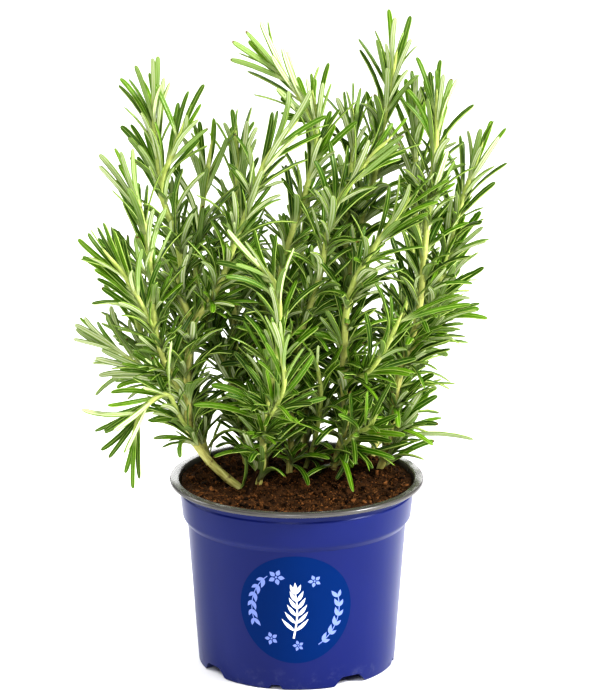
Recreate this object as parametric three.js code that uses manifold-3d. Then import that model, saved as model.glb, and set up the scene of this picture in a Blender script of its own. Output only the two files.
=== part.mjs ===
// A rosemary plant in a round plastic pot, in millimetres, +Z up.
// The origin is the middle of the flat underside, and the front of the pot faces -Y.
//
// The pot is one thin moulding with a flat rim, a collar and a notched foot. It is filled with
// potting soil, and leafy stems stand in plain holes in the soil. Each stem is one solid: its
// shoots, fused with the needle leaves that grow from them.

import * as THREE from 'three';
import { mergeVertices } from 'three/addons/utils/BufferGeometryUtils.js';
import Module from 'manifold-3d';

const wasm = await Module();
wasm.setup();

const DEG = Math.PI / 180;

// ---- pot ----
const POT_HEIGHT = 98;
const RIM_RADIUS = 65;
const RIM_WIDTH = 4.8;
const COLLAR_TOP_RADIUS = 59.9;
const COLLAR_BOTTOM_RADIUS = 58.5;
const COLLAR_TOP = 91.3;
const COLLAR_BOTTOM = 77.5;
const BODY_TOP_RADIUS = 56.1;
const BODY_TOP = 73.5;
const BASE_RADIUS = 50.5;
const BASE_EDGE = 0.6;
const RIM_UNDERSIDE = 2.6;
const RIM_EDGE_BOTTOM = 2.3;
const RIM_EDGE_TOP = 0.9;
const WALL = 1.2;
const FLOOR_TOP = 6.2;
const POT_SEGMENTS = 40;

// The foot: a flat middle, a drain ring round it, and an outer ring that notches cut into feet.
const MIDDLE_RADIUS = 18;
const RING_INNER = 20;
const RING_OUTER = 34;
const FEET_INNER = 36;
const RING_HEIGHT = FLOOR_TOP - WALL;
const NOTCHES = 4;
const NOTCH_TURN = 33;
const WIDE_NOTCH = { height: 5, top: 9, bottom: 21, turn: NOTCH_TURN };
const SMALL_NOTCH = { height: 2.4, top: 3.5, bottom: 8.5, turn: NOTCH_TURN + 45 };
const DRAIN_HOLE_RADIUS = 4;
const DRAIN_HOLE_SIDES = 8;

// ---- soil ----
const GAP = 0.3;
const SOIL_TOP = 91.5;
const SOIL_EDGE_DIP = 1.6;
const SOIL_LUMP = 0.9;
const SOIL_SEGMENTS = 24;
const HOLE_DEPTH = 15;

// ---- stems ----
const STEM_SIDES = 5;
const STEM_STEP = 22;
const STEM_TURN = 16 * DEG;
const STEM_TIP_RADIUS = 0.9;
const STEM_POINT = 2.5;
const FINE_STEPS = 8;

// ---- leaves ----
const LEAF_LENGTH = 30;
const LEAF_WIDTH = 2.6;
const LEAF_THICKNESS = 1.2;
const ROOT_SHARE = 0.25;
const TIP_SHARE = 0.85;

// How a leaf stands and how long it is: near the tip of its shoot, and far below it.
const YOUNG = { spread: 15, curl: 6, size: 0.78 };
const OLD = { spread: 65, curl: 42, size: 1 };
const AGEING_LENGTH = 100;
const GROWING_LENGTH = 30;

const PAIR_SPACING = 13;
const QUARTER_TURN = 90;
const TURN_SPREAD = 24;
const DEPTH_SPREAD = 16;
const LISTED_LENGTH = 14;
const LOWEST_ROOT = 3;
const ROOT_BELOW_TIP = 4;

// The room that each leaf keeps: its own half width, and the share of it that is free of its stem.
const LEAF_REACH = 1.35;
const LEAF_OUTER = 0.4;
const SISTER_ROOM = 1.8;
const RIM_ROOM = 4;
const CLEAR_OF_SOIL = 96;
const CLEAR_OF_RIM = 101;

// Height that a place loses for each millimetre it lies further back, to look the same in front.
const FRONT_TILT = 0.276;

const COLOURS = { pot: 0x2b3c9a, soil: 0x3b2314, leaf: 0x5d8a2a };

/** The first two points of a rooted stem's route: straight up out of the soil. */
function rootedAt(x, y) {
  return [[x, y, SOIL_TOP - HOLE_DEPTH + GAP], [x, y, SOIL_TOP]];
}

// Every stem that stands in the soil, with its shoots. A route is the smooth centre line of a
// shoot, and a side shoot starts on a point of its parent's route. `bare` is the leafless length
// at its start, and `tips` are the [x, z] places of the leaf tips that stand out from the front.
const STEMS = [
  {
    name: 'stem_left',
    shoots: [
      {
        route: [...rootedAt(-28, -8), [-36, -9, 100], [-46, -11, 111], [-54, -12, 125], [-55, -12, 142],
          [-55, -11, 160], [-53, -10, 180], [-59, -8, 198], [-58, -7, 212], [-62, -6, 230],
          [-68, -6, 251], [-61, -8, 270], [-56, -8, 284]],
        radius: 2.7, bare: 48,
        tips: [[-46, 304], [-54, 301], [-59, 295], [-71, 305], [-44, 281]],
      },
      {
        route: [[-68, -6, 251], [-70, -2, 268], [-71, 0, 282], [-72, 1, 296]],
        radius: 1.4, bare: 6,
        tips: [[-69, 316], [-71, 314], [-80, 311], [-66, 305], [-88, 305], [-89, 302], [-76, 279],
          [-83, 282], [-88, 281], [-84, 275], [-79, 271], [-83, 265]],
      },
      {
        route: [[-55, -12, 142], [-65, -20, 161], [-70, -23, 178], [-72, -24, 196], [-73, -24, 216],
          [-77, -19, 240], [-85, -16, 260]],
        radius: 1.7, bare: 14,
        tips: [[-87, 271], [-98, 270], [-98, 264], [-90, 257], [-79, 256]],
      },
      {
        route: [[-70, -23, 178], [-76, -30, 194], [-83, -35, 209], [-95, -41, 227]],
        radius: 1.3, bare: 8,
        tips: [[-95, 241], [-103, 236], [-108, 233], [-106, 224], [-100, 217], [-99, 212],
          [-90, 237], [-86, 233], [-97, 207]],
      },
      {
        route: [[-55, -12, 142], [-67, -4, 151], [-82, 6, 156], [-103, 15, 170]],
        radius: 1.3, bare: 12,
        tips: [[-113, 174], [-108, 178], [-97, 179], [-95, 184], [-103, 157], [-94, 148],
          [-103, 138], [-92, 143]],
      },
      {
        route: [[-54, -12, 125], [-60, -22, 138], [-64, -28, 149], [-71, -34, 149], [-78, -38, 142],
          [-82, -41, 132]],
        radius: 1.4, bare: 26,
        tips: [[-82, 104], [-86, 112], [-79, 109], [-94, 120], [-98, 124], [-96, 134], [-107, 145],
          [-94, 147], [-93, 153]],
      },
      {
        route: [[-53, -10, 180], [-40, -17, 201], [-33, -20, 219], [-26, -19, 238], [-18, -17, 261],
          [-10, -16, 275], [0, -17, 287]],
        radius: 1.8, bare: 12,
        tips: [[7, 302], [-4, 302], [15, 290], [12, 281], [-12, 292]],
      },
    ],
  },
  {
    name: 'stem_front',
    shoots: [
      {
        route: [...rootedAt(-20, -5), [-17, -12, 110], [-17, -20, 131], [-13, -25, 153],
          [-9, -28, 178], [-9, -30, 201], [-14, -33, 213], [-24, -36, 222]],
        radius: 2.1, bare: 26,
        tips: [[-40, 220], [-34, 236], [-30, 221], [-35, 212], [-26, 191], [-31, 171], [-43, 153],
          [-52, 142], [-18, 119], [-27, 128]],
      },
      {
        route: [[-17, -20, 131], [-10, -38, 146], [-6, -50, 162], [-8, -54, 182]],
        radius: 1.2, bare: 12,
        tips: [],
      },
    ],
  },
  {
    name: 'stem_centre',
    shoots: [
      {
        route: [...rootedAt(-17, 16), [-14, 12, 128], [-9, 4, 165], [-9, -3, 195], [-6, -4, 215],
          [2, -4, 240], [8, -4, 262], [10, -4, 281], [8, -4, 298]],
        radius: 2.2, bare: 30,
        tips: [[16, 314], [5, 305], [13, 303], [11, 294], [17, 290], [19, 283], [30, 284]],
      },
      {
        route: [[10, -4, 281], [1, 0, 296], [-8, 4, 308], [-18, 6, 318]],
        radius: 1.3, bare: 6,
        tips: [[-18, 333], [-24, 324], [-32, 322], [-33, 313], [-7, 319], [-10, 299], [-8, 295]],
      },
    ],
  },
  {
    name: 'stem_leaning',
    shoots: [
      {
        route: [...rootedAt(-4, 12), [-3, 8, 116], [-3, 4, 140], [-1, 0, 160], [5, -8, 185],
          [12, -13, 208], [17, -16, 237], [26, -17, 254], [38, -17, 270], [46, -17, 278]],
        radius: 2.1, bare: 30,
        tips: [[51, 275], [54, 272], [38, 283], [9, 267]],
      },
    ],
  },
  {
    name: 'stem_right',
    shoots: [
      {
        route: [...rootedAt(17, 18), [22, 16, 107], [25, 9, 128], [24, 2, 146], [24, -7, 168],
          [26, -16, 196], [34, -21, 216], [46, -27, 236], [56, -31, 251]],
        radius: 2.6, bare: 38,
        tips: [[75, 260], [61, 258], [68, 250], [65, 243]],
      },
      {
        route: [[24, 2, 146], [37, -14, 158], [45, -23, 173], [52, -31, 191]],
        radius: 1.5, bare: 8,
        tips: [[87, 197], [81, 202], [39, 208]],
      },
      {
        route: [[22, 16, 107], [30, -4, 122], [36, -22, 130], [40, -34, 140]],
        radius: 1.2, bare: 12,
        tips: [[50, 109], [39, 108], [29, 98]],
      },
    ],
  },
  {
    name: 'stem_tall',
    shoots: [
      {
        route: [...rootedAt(30, 33), [27, 34, 130], [24, 30, 168], [26, 26, 196], [31, 24, 221],
          [39, 20, 249], [43, 16, 275], [47, 13, 298], [50, 12, 316]],
        radius: 2.3, bare: 30,
        tips: [[46, 338], [49, 333], [57, 335], [40, 322], [31, 323], [57, 322], [52, 305],
          [35, 296], [45, 307]],
      },
      {
        route: [[26, 26, 196], [25, 18, 222], [26, 14, 244], [29, 14, 268], [28, 14, 287]],
        radius: 1.5, bare: 12,
        tips: [[24, 296], [20, 292], [32, 297], [30, 290], [21, 263]],
      },
    ],
  },
  {
    name: 'stem_far_right',
    shoots: [
      {
        route: [...rootedAt(42, 19), [48, 19, 112], [51, 13, 140], [56, 8, 160], [62, 3, 184],
          [64, 0, 210], [67, -2, 246], [70, 0, 275], [70, 2, 297]],
        radius: 2.3, bare: 28,
        tips: [[60, 316], [67, 309], [72, 315], [77, 304], [55, 299], [75, 280], [75, 268],
          [79, 263], [70, 149], [64, 140], [72, 137], [62, 127], [91, 112], [71, 111]],
      },
      {
        route: [[56, 8, 160], [65, 11, 170], [72, 13, 195], [80, 10, 228], [87, 7, 252], [93, 5, 270]],
        radius: 1.6, bare: 10,
        tips: [[98, 283], [101, 274], [92, 278], [82, 275], [82, 251], [78, 241], [85, 234],
          [93, 235], [95, 205], [80, 206], [93, 183], [97, 178], [77, 172], [77, 159]],
      },
      {
        route: [[64, 0, 210], [60, 10, 236], [60, 16, 262], [59, 18, 292]],
        radius: 1.4, bare: 12,
        tips: [[58, 306], [55, 302], [60, 303], [48, 294], [63, 297]],
      },
    ],
  },
  {
    name: 'stem_back_left',
    shoots: [
      {
        route: [...rootedAt(-26, 32), [-30, 29, 130], [-32, 26, 168], [-33, 26, 205], [-30, 28, 240],
          [-31, 28, 272]],
        radius: 2.2, bare: 30,
        tips: [[-33, 284], [-33, 275], [-25, 277], [-20, 274], [-26, 257]],
      },
      {
        route: [[-30, 29, 130], [-43, 19, 168], [-51, 13, 196], [-49, 15, 226], [-43, 16, 268]],
        radius: 1.6, bare: 16,
        tips: [[-42, 282], [-49, 280], [-53, 281], [-35, 271], [-57, 271]],
      },
    ],
  },
  {
    name: 'stem_back',
    shoots: [
      {
        route: [...rootedAt(4, 44), [4, 50, 128], [1, 54, 168], [3, 55, 208], [9, 52, 250]],
        radius: 2.2, bare: 28,
        tips: [],
      },
      {
        route: [[4, 50, 128], [-12, 58, 158], [-24, 62, 190], [-28, 60, 226]],
        radius: 1.6, bare: 12,
        tips: [],
      },
      {
        route: [[4, 50, 128], [10, 68, 142], [16, 80, 168], [17, 86, 196]],
        radius: 1.4, bare: 12,
        tips: [],
      },
    ],
  },
  {
    name: 'stem_back_right',
    shoots: [
      {
        route: [...rootedAt(38, 38), [48, 46, 128], [55, 49, 168], [60, 46, 208], [61, 42, 246]],
        radius: 2.1, bare: 28,
        tips: [],
      },
      {
        route: [[48, 46, 128], [64, 54, 150], [74, 56, 178], [80, 54, 212]],
        radius: 1.5, bare: 12,
        tips: [],
      },
    ],
  },
  {
    name: 'stem_far_left',
    shoots: [
      {
        route: [...rootedAt(-44, 20), [-52, 32, 122], [-58, 38, 156], [-60, 40, 196], [-63, 38, 232]],
        radius: 2.1, bare: 28,
        tips: [],
      },
      {
        route: [[-52, 32, 122], [-70, 40, 140], [-82, 42, 166], [-88, 40, 196]],
        radius: 1.5, bare: 12,
        tips: [],
      },
    ],
  },
  {
    name: 'stem_sprout',
    shoots: [
      {
        route: [...rootedAt(4, 26), [9, 16, 111], [12, 6, 131], [12, -8, 148], [10, -18, 164]],
        radius: 1.5, bare: 26,
        tips: [],
      },
    ],
  },
];

// ---------------------------------------------------------------------------------------------
// solids

/** A closed geometry with its shared vertices merged, as a solid for boolean work. */
function toSolid(geometry) {
  const bare = geometry.clone();
  bare.deleteAttribute('normal');
  bare.deleteAttribute('uv');
  const merged = mergeVertices(bare, 1e-4);
  const vertProperties = new Float32Array(merged.attributes.position.array);
  const triVerts = new Uint32Array(merged.index.array);
  return new wasm.Manifold(new wasm.Mesh({ numProp: 3, vertProperties, triVerts }));
}

function toGeometry(solid) {
  const mesh = solid.getMesh();
  const geometry = new THREE.BufferGeometry();
  geometry.setAttribute('position', new THREE.BufferAttribute(mesh.vertProperties.slice(), 3));
  geometry.setIndex(new THREE.BufferAttribute(mesh.triVerts.slice(), 1));
  geometry.computeVertexNormals();
  return geometry;
}

function solidFromFaces(points, faces) {
  const geometry = new THREE.BufferGeometry();
  geometry.setAttribute('position', new THREE.Float32BufferAttribute(points.flatMap((p) => p.toArray()), 3));
  geometry.setIndex(faces.flat());
  return toSolid(geometry);
}

/** A ring profile of [radius, height] points turned about +Z. */
function turned(profile, segments) {
  const points = profile.map(([radius, height]) => new THREE.Vector2(radius, height));
  return new THREE.LatheGeometry(points, segments).rotateX(90 * DEG);
}

/** Joins solids two by two, so that each join stays small. */
function fuse(solids) {
  let row = solids;
  while (row.length > 1) {
    const next = [];
    for (let i = 0; i < row.length; i += 2) {
      next.push(i + 1 < row.length ? row[i].add(row[i + 1]) : row[i]);
    }
    row = next;
  }
  return row[0];
}

function cut(solid, tools) {
  return solid.subtract(fuse(tools));
}

// ---------------------------------------------------------------------------------------------
// pot and soil

/** One outer wall line of the pot, from the base up to the collar, moved in by `inset`. */
function wallLine(inset) {
  return [
    [BODY_TOP_RADIUS - inset, BODY_TOP + inset],
    [COLLAR_BOTTOM_RADIUS - inset, COLLAR_BOTTOM + inset],
    [COLLAR_TOP_RADIUS - inset, COLLAR_TOP + inset],
  ];
}

function potShell() {
  const rimInner = RIM_RADIUS - RIM_WIDTH;
  const outside = [
    [0, 0], [MIDDLE_RADIUS, 0], [RING_INNER, RING_HEIGHT], [RING_OUTER, RING_HEIGHT],
    [FEET_INNER, 0], [BASE_RADIUS - BASE_EDGE, 0], [BASE_RADIUS, BASE_EDGE],
    ...wallLine(0),
    [rimInner + WALL, POT_HEIGHT - RIM_UNDERSIDE], [RIM_RADIUS, POT_HEIGHT - RIM_EDGE_BOTTOM],
    [RIM_RADIUS, POT_HEIGHT - RIM_EDGE_TOP], [RIM_RADIUS - RIM_EDGE_TOP, POT_HEIGHT],
  ];
  const inside = [
    [rimInner, POT_HEIGHT], ...wallLine(WALL).reverse(), [BASE_RADIUS - WALL, FLOOR_TOP], [0, FLOOR_TOP],
  ];
  return toSolid(turned([...outside, ...inside], POT_SEGMENTS));
}

/** A block that cuts an arched notch through the outer ring. */
function notchBlock({ height, top, bottom, turn }) {
  const outline = new THREE.Shape([
    new THREE.Vector2(-bottom / 2, -1),
    new THREE.Vector2(bottom / 2, -1),
    new THREE.Vector2(bottom / 2, 0),
    new THREE.Vector2(top / 2, height),
    new THREE.Vector2(-top / 2, height),
    new THREE.Vector2(-bottom / 2, 0),
  ]);
  const depth = BASE_RADIUS + 4 - RING_OUTER;
  const block = new THREE.ExtrudeGeometry(outline, { depth, bevelEnabled: false });
  block.rotateX(90 * DEG);
  block.translate(0, -RING_OUTER, 0);
  return toSolid(block.rotateZ(turn * DEG));
}

function notchBlocks() {
  const blocks = [];
  for (let i = 0; i < NOTCHES; i += 1) {
    for (const notch of [WIDE_NOTCH, SMALL_NOTCH]) {
      blocks.push(notchBlock({ ...notch, turn: notch.turn + (i * 360) / NOTCHES }));
    }
  }
  return blocks;
}

function drainHoles() {
  const holes = [];
  for (let i = 0; i < NOTCHES; i += 1) {
    const hole = new THREE.CylinderGeometry(DRAIN_HOLE_RADIUS, DRAIN_HOLE_RADIUS, FLOOR_TOP,
      DRAIN_HOLE_SIDES);
    hole.rotateX(90 * DEG);
    hole.translate(0, -(RING_INNER + RING_OUTER) / 2, FLOOR_TOP);
    hole.rotateZ((NOTCH_TURN + (i * 360) / NOTCHES) * DEG);
    holes.push(toSolid(hole));
  }
  return holes;
}

function makePot() {
  return cut(potShell(), [...notchBlocks(), ...drainHoles()]);
}

/** The loose surface of the soil: a little lower at the wall, with low lumps. */
function soilHeight(x, y) {
  const edge = Math.hypot(x, y) / (COLLAR_TOP_RADIUS - WALL);
  const lumps = Math.sin(0.21 * x + 1.3) * Math.cos(0.17 * y - 0.6) + 0.5 * Math.sin(0.4 * x - 0.33 * y);
  return SOIL_TOP - SOIL_EDGE_DIP * edge ** 4 + SOIL_LUMP * lumps * (1 - edge ** 6);
}

function makeSoil(stemHoles) {
  const wall = wallLine(WALL + GAP);
  const slope = (COLLAR_TOP_RADIUS - COLLAR_BOTTOM_RADIUS) / (COLLAR_TOP - COLLAR_BOTTOM);
  const edgeHeight = SOIL_TOP - SOIL_EDGE_DIP;
  const edgeRadius = wall[1][0] + slope * (edgeHeight - wall[1][1]);
  const bottom = FLOOR_TOP + GAP;
  const profile = [[0, bottom], [BASE_RADIUS - WALL - GAP, bottom], wall[0], wall[1], [edgeRadius, edgeHeight]];
  for (const share of [0.86, 0.66, 0.42, 0.18]) {
    profile.push([edgeRadius * share, SOIL_TOP]);
  }
  profile.push([0, SOIL_TOP]);
  const geometry = turned(profile, SOIL_SEGMENTS);
  const position = geometry.attributes.position;
  for (let i = 0; i < position.count; i += 1) {
    if (position.getZ(i) > edgeHeight + 0.1) {
      position.setZ(i, soilHeight(position.getX(i), position.getY(i)));
    }
  }
  return cut(toSolid(geometry), stemHoles);
}

// ---------------------------------------------------------------------------------------------
// shoots

/** A repeatable random source of numbers from 0 to 1. */
function randomSource(seed) {
  let state = seed >>> 0;
  return () => {
    state = (state + 0x6d2b79f5) >>> 0;
    let mixed = Math.imul(state ^ (state >>> 15), 1 | state);
    mixed = (mixed + Math.imul(mixed ^ (mixed >>> 7), 61 | mixed)) ^ mixed;
    return ((mixed ^ (mixed >>> 14)) >>> 0) / 4294967296;
  };
}

/** A shoot's centre line: a smooth curve through its route, taken in straight steps. */
class CentreLine {
  constructor(route) {
    const knots = route.map((p) => new THREE.Vector3(...p));
    const curve = new THREE.CatmullRomCurve3(knots, false, 'catmullrom', 0.5);
    this.follow(curve.getPoints(FINE_STEPS * (route.length - 1)));
    this.steps = Math.ceil(Math.max(this.length / STEM_STEP, this.turning() / STEM_TURN));
    const stations = [];
    for (let i = 0; i <= this.steps; i += 1) {
      stations.push(this.at((this.length * i) / this.steps).point);
    }
    this.follow(stations);
  }

  /** Takes the given points as the line, and adds up the distance to each of them. */
  follow(points) {
    this.points = points;
    this.distances = [0];
    for (let i = 1; i < points.length; i += 1) {
      this.distances.push(this.distances[i - 1] + points[i].distanceTo(points[i - 1]));
    }
    this.length = this.distances[points.length - 1];
  }

  /** How far the line turns from end to end, as an angle. */
  turning() {
    let total = 0;
    for (let i = 2; i < this.points.length; i += 1) {
      const before = this.points[i - 1].clone().sub(this.points[i - 2]);
      total += before.angleTo(this.points[i].clone().sub(this.points[i - 1]));
    }
    return total;
  }

  /** The place at a distance from the start: its point and three directions square to each other. */
  at(distance) {
    const s = Math.min(Math.max(distance, 0), this.length);
    let i = 1;
    while (i < this.points.length - 1 && this.distances[i] < s) {
      i += 1;
    }
    const share = (s - this.distances[i - 1]) / (this.distances[i] - this.distances[i - 1]);
    const point = this.points[i - 1].clone().lerp(this.points[i], share);
    const along = this.points[i].clone().sub(this.points[i - 1]).normalize();
    const side = new THREE.Vector3(0, 1, 0).cross(along).normalize();
    const back = along.clone().cross(side);
    return { point, along, side, back };
  }
}

/** A tapered round solid along a centre line, with a pointed end, made fatter and longer by `grow`. */
function sweep(line, radius, grow = 0) {
  const { steps } = line;
  const points = [];
  const faces = [];
  for (let i = 0; i <= steps; i += 1) {
    const { point, along, side, back } = line.at(line.distances[i]);
    const here = THREE.MathUtils.lerp(radius, STEM_TIP_RADIUS, i / steps) + 2 * grow;
    if (i === 0) {
      point.addScaledVector(along, -grow);
    }
    for (let k = 0; k < STEM_SIDES; k += 1) {
      const angle = (2 * Math.PI * k) / STEM_SIDES;
      const corner = point.clone().addScaledVector(side, here * Math.cos(angle));
      points.push(corner.addScaledVector(back, here * Math.sin(angle)));
    }
  }
  for (let i = 0; i < steps; i += 1) {
    for (let k = 0; k < STEM_SIDES; k += 1) {
      const a = i * STEM_SIDES + k;
      const b = i * STEM_SIDES + ((k + 1) % STEM_SIDES);
      faces.push([a, b, b + STEM_SIDES], [a, b + STEM_SIDES, a + STEM_SIDES]);
    }
  }
  const last = steps * STEM_SIDES;
  const end = line.at(line.length);
  const tip = points.push(end.point.clone().addScaledVector(end.along, STEM_POINT)) - 1;
  for (let k = 0; k < STEM_SIDES; k += 1) {
    faces.push([last + k, last + ((k + 1) % STEM_SIDES), tip]);
    if (k > 1) {
      faces.push([0, k, k - 1]);
    }
  }
  return solidFromFaces(points, faces);
}

// ---------------------------------------------------------------------------------------------
// leaves

/** How a leaf stands at a distance below the shoot's tip: nearly along it, then spreading. */
function habit(fromTip) {
  const age = 1 - Math.exp(-fromTip / AGEING_LENGTH);
  const grown = Math.min(1, fromTip / GROWING_LENGTH);
  return {
    spread: THREE.MathUtils.lerp(YOUNG.spread, OLD.spread, age) * DEG,
    curl: THREE.MathUtils.lerp(YOUNG.curl, OLD.curl, age) * DEG,
    length: LEAF_LENGTH * THREE.MathUtils.lerp(YOUNG.size, OLD.size, grown),
  };
}

/** A leaf by its angles: round the stem, away from it, and how far it curls back half way. */
function leafByAngles(place, angle, spread, curl, length) {
  const out = place.side.clone().multiplyScalar(Math.cos(angle)).addScaledVector(place.back, Math.sin(angle));
  const tip = place.point.clone();
  for (const opening of [spread, spread + curl]) {
    tip.addScaledVector(place.along, (Math.cos(opening) * length) / 2);
    tip.addScaledVector(out, (Math.sin(opening) * length) / 2);
  }
  return { root: place.point, tip, up: place.along };
}

/** Where along a line the given measure of its points is least. */
function whereLeast(line, measure) {
  let best = line.length;
  for (let s = line.length; s > 0; s -= 1) {
    if (measure(line.at(s).point) < measure(line.at(best).point)) {
      best = s;
    }
  }
  return best;
}

/** A leaf whose tip is given: it leaves the shoot about one leaf's length below. */
function leafByTip(line, tip) {
  let s = whereLeast(line, (point) => point.distanceTo(tip)) - ROOT_BELOW_TIP;
  while (s > LOWEST_ROOT && line.at(s).point.distanceTo(tip) < LEAF_LENGTH) {
    s -= 1;
  }
  const { point, along } = line.at(s);
  return { root: point, tip, up: along };
}

/** A three-sided needle with a blunt tip: flat above, keeled below, its slim root in the stem. */
function needle({ root, tip, up }) {
  const ahead = tip.clone().sub(root).normalize();
  const above = up.clone().addScaledVector(ahead, -up.dot(ahead)).normalize();
  const side = ahead.clone().cross(above);
  const corner = (at, across, rise) => (
    at.clone().addScaledVector(side, across).addScaledVector(above, rise));
  const half = LEAF_WIDTH / 2;
  const points = [
    corner(root, -half * ROOT_SHARE, 0),
    corner(root, half * ROOT_SHARE, 0),
    corner(root, 0, -LEAF_THICKNESS / 2),
    corner(tip, -half * TIP_SHARE, 0),
    corner(tip, half * TIP_SHARE, 0),
  ];
  return solidFromFaces(points, [[0, 2, 1], [0, 1, 4], [0, 4, 3], [1, 2, 4], [2, 0, 3], [2, 3, 4]]);
}

// ---------------------------------------------------------------------------------------------
// room for every leaf

/** The least distance between the segments a-b and c-d. */
function segmentDistance(a, b, c, d) {
  const u = b.clone().sub(a);
  const v = d.clone().sub(c);
  const w = a.clone().sub(c);
  const uu = u.dot(u);
  const uv = u.dot(v);
  const vv = v.dot(v);
  const uw = u.dot(w);
  const vw = v.dot(w);
  const spread = uu * vv - uv * uv;
  let s = spread > 1e-9 ? THREE.MathUtils.clamp((uv * vw - vv * uw) / spread, 0, 1) : 0;
  let t = (uv * s + vw) / vv;
  if (t < 0 || t > 1) {
    t = THREE.MathUtils.clamp(t, 0, 1);
    s = THREE.MathUtils.clamp((uv * t - uw) / uu, 0, 1);
  }
  return w.addScaledVector(u, s).addScaledVector(v, -t).length();
}

const taken = [];

/** Marks the room that a leaf or a stretch of stem fills; `outer` starts a leaf's free part. */
function take(stem, a, b, radius, outer) {
  taken.push({ stem, a, b, radius, outer, middle: a.clone().lerp(b, 0.5), half: a.distanceTo(b) / 2 });
}

/** Whether a leaf crosses nothing of another stem, and no free part of its own stem. */
function isClear(stem, root, tip) {
  const middle = root.clone().lerp(tip, 0.5);
  const half = root.distanceTo(tip) / 2;
  const outer = root.clone().lerp(tip, LEAF_OUTER);
  return taken.every((other) => {
    const sister = other.stem === stem;
    const room = sister ? Math.max(SISTER_ROOM, other.outer ? 0 : other.radius + 1)
      : LEAF_REACH + other.radius + GAP;
    return middle.distanceTo(other.middle) > half + other.half + room
      || segmentDistance(sister ? outer : root, tip, (sister && other.outer) || other.a, other.b) > room;
  });
}

/** A leaf keeps above the soil and the rim, which it may hang over. */
function clearsPot({ root, tip }) {
  for (let t = 0.1; t <= 1; t += 0.15) {
    const { x, y, z } = root.clone().lerp(tip, t);
    const distance = Math.hypot(x, y);
    const lowest = distance < COLLAR_BOTTOM_RADIUS - RIM_ROOM ? CLEAR_OF_SOIL : CLEAR_OF_RIM;
    if (distance < RIM_RADIUS + RIM_ROOM && z < lowest) {
      return false;
    }
  }
  return true;
}

/** The first of some leaves that has room, as a list, and an empty list where none has. */
function firstClear(stem, leaves) {
  const clear = leaves.find((leaf) => clearsPot(leaf) && isClear(stem, leaf.root, leaf.tip));
  if (!clear) {
    return [];
  }
  take(stem, clear.root, clear.tip, LEAF_REACH, clear.root.clone().lerp(clear.tip, LEAF_OUTER));
  return [clear];
}

// Where a leaf with no room is tried next: further back or forward by millimetres, and turned
// round the stem by degrees with a share of its spread.
const DEPTH_TRIES = [0, 5, -5, 10, -10, 15, -15];
const ANGLE_TRIES = [[0, 1], [22, 1], [-22, 1], [0, 0.7], [44, 1], [-44, 1], [22, 0.6], [-22, 0.6], [0, 0.4]];

/** The leaves that stand out from the front, at the tips that the shoot lists. */
function seenLeaves(stem, { tips, line, random }) {
  return tips.flatMap(([x, z]) => {
    const depth = DEPTH_SPREAD * (random() - 0.5);
    const nearest = whereLeast(line, (point) => Math.hypot(point.x - x, point.z - z));
    const base = line.at(nearest).point.y;
    return firstClear(stem, DEPTH_TRIES.map((more) => {
      const off = depth + more;
      return leafByTip(line, new THREE.Vector3(x, base + off, z - off * FRONT_TILT));
    }));
  });
}

/** Opposite pairs along the shoot, each pair turned a quarter from the last. */
function pairedLeaves(stem, { tips, line, random, bare }) {
  const leaves = [];
  const phase = random() * Math.PI;
  const top = line.length - 1 - (tips.length > 0 ? LISTED_LENGTH : 0);
  let count = 0;
  for (let s = top; s > bare; s -= PAIR_SPACING) {
    for (const half of [0, 180]) {
      const turn = phase + (QUARTER_TURN * count + half + TURN_SPREAD * (random() - 0.5)) * DEG;
      const { spread, curl, length } = habit(line.length - s);
      const open = spread * (0.8 + 0.4 * random());
      const back = curl * (0.6 + 0.8 * random());
      const size = length * (0.82 + 0.3 * random());
      const place = line.at(s);
      leaves.push(...firstClear(stem, ANGLE_TRIES.map(([more, narrow]) => (
        leafByAngles(place, turn + more * DEG, open * narrow, back * narrow, size)))));
    }
    count += 1;
  }
  return leaves;
}

function growLeaves() {
  STEMS.forEach((stem, index) => {
    stem.shoots.forEach((shoot, place) => {
      shoot.line = new CentreLine(shoot.route);
      shoot.random = randomSource(1000 * (index + 1) + place);
      shoot.leaves = [];
      for (let s = 0; s < shoot.line.length; s += STEM_STEP) {
        take(stem.name, shoot.line.at(s).point, shoot.line.at(s + STEM_STEP).point, shoot.radius);
      }
    });
  });
  for (const grow of [seenLeaves, pairedLeaves]) {
    for (const stem of STEMS) {
      for (const shoot of stem.shoots) {
        shoot.leaves.push(...grow(stem.name, shoot));
      }
    }
  }
}

function makeStem(stem) {
  return fuse(stem.shoots.map((shoot) => fuse([
    sweep(shoot.line, shoot.radius),
    ...shoot.leaves.map(needle),
  ])));
}

/** The plain hole that a rooted stem stands in, wider and deeper than the stem by the gap. */
function stemHole({ shoots: [shoot] }) {
  return sweep(shoot.line, shoot.radius, GAP);
}

// ---------------------------------------------------------------------------------------------
// the object

function addPiece(group, name, solid, material) {
  const mesh = new THREE.Mesh(toGeometry(solid), material);
  mesh.name = name;
  group.add(mesh);
}

const plastic = new THREE.MeshStandardMaterial({ color: COLOURS.pot, roughness: 0.4, metalness: 0 });
const peat = new THREE.MeshStandardMaterial({ color: COLOURS.soil, roughness: 0.95, metalness: 0 });
const foliage = new THREE.MeshStandardMaterial({ color: COLOURS.leaf, roughness: 0.5, metalness: 0 });

growLeaves();

const plant = new THREE.Group();
addPiece(plant, 'pot', makePot(), plastic);
addPiece(plant, 'soil', makeSoil(STEMS.map(stemHole)), peat);
for (const stem of STEMS) {
  addPiece(plant, stem.name, makeStem(stem), foliage);
}

export default plant;
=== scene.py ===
"""A rosemary plant in a round plastic pot on a pale studio floor.

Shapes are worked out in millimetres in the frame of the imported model, and turned into metres where
a mesh is made. The stems and their main leaves follow the same routes and the same seeded rule as
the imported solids. This script gives them their curved blades, and adds the leaves in between.
"""
import math

import bmesh
import bpy
import numpy as np
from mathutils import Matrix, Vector, noise


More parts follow.
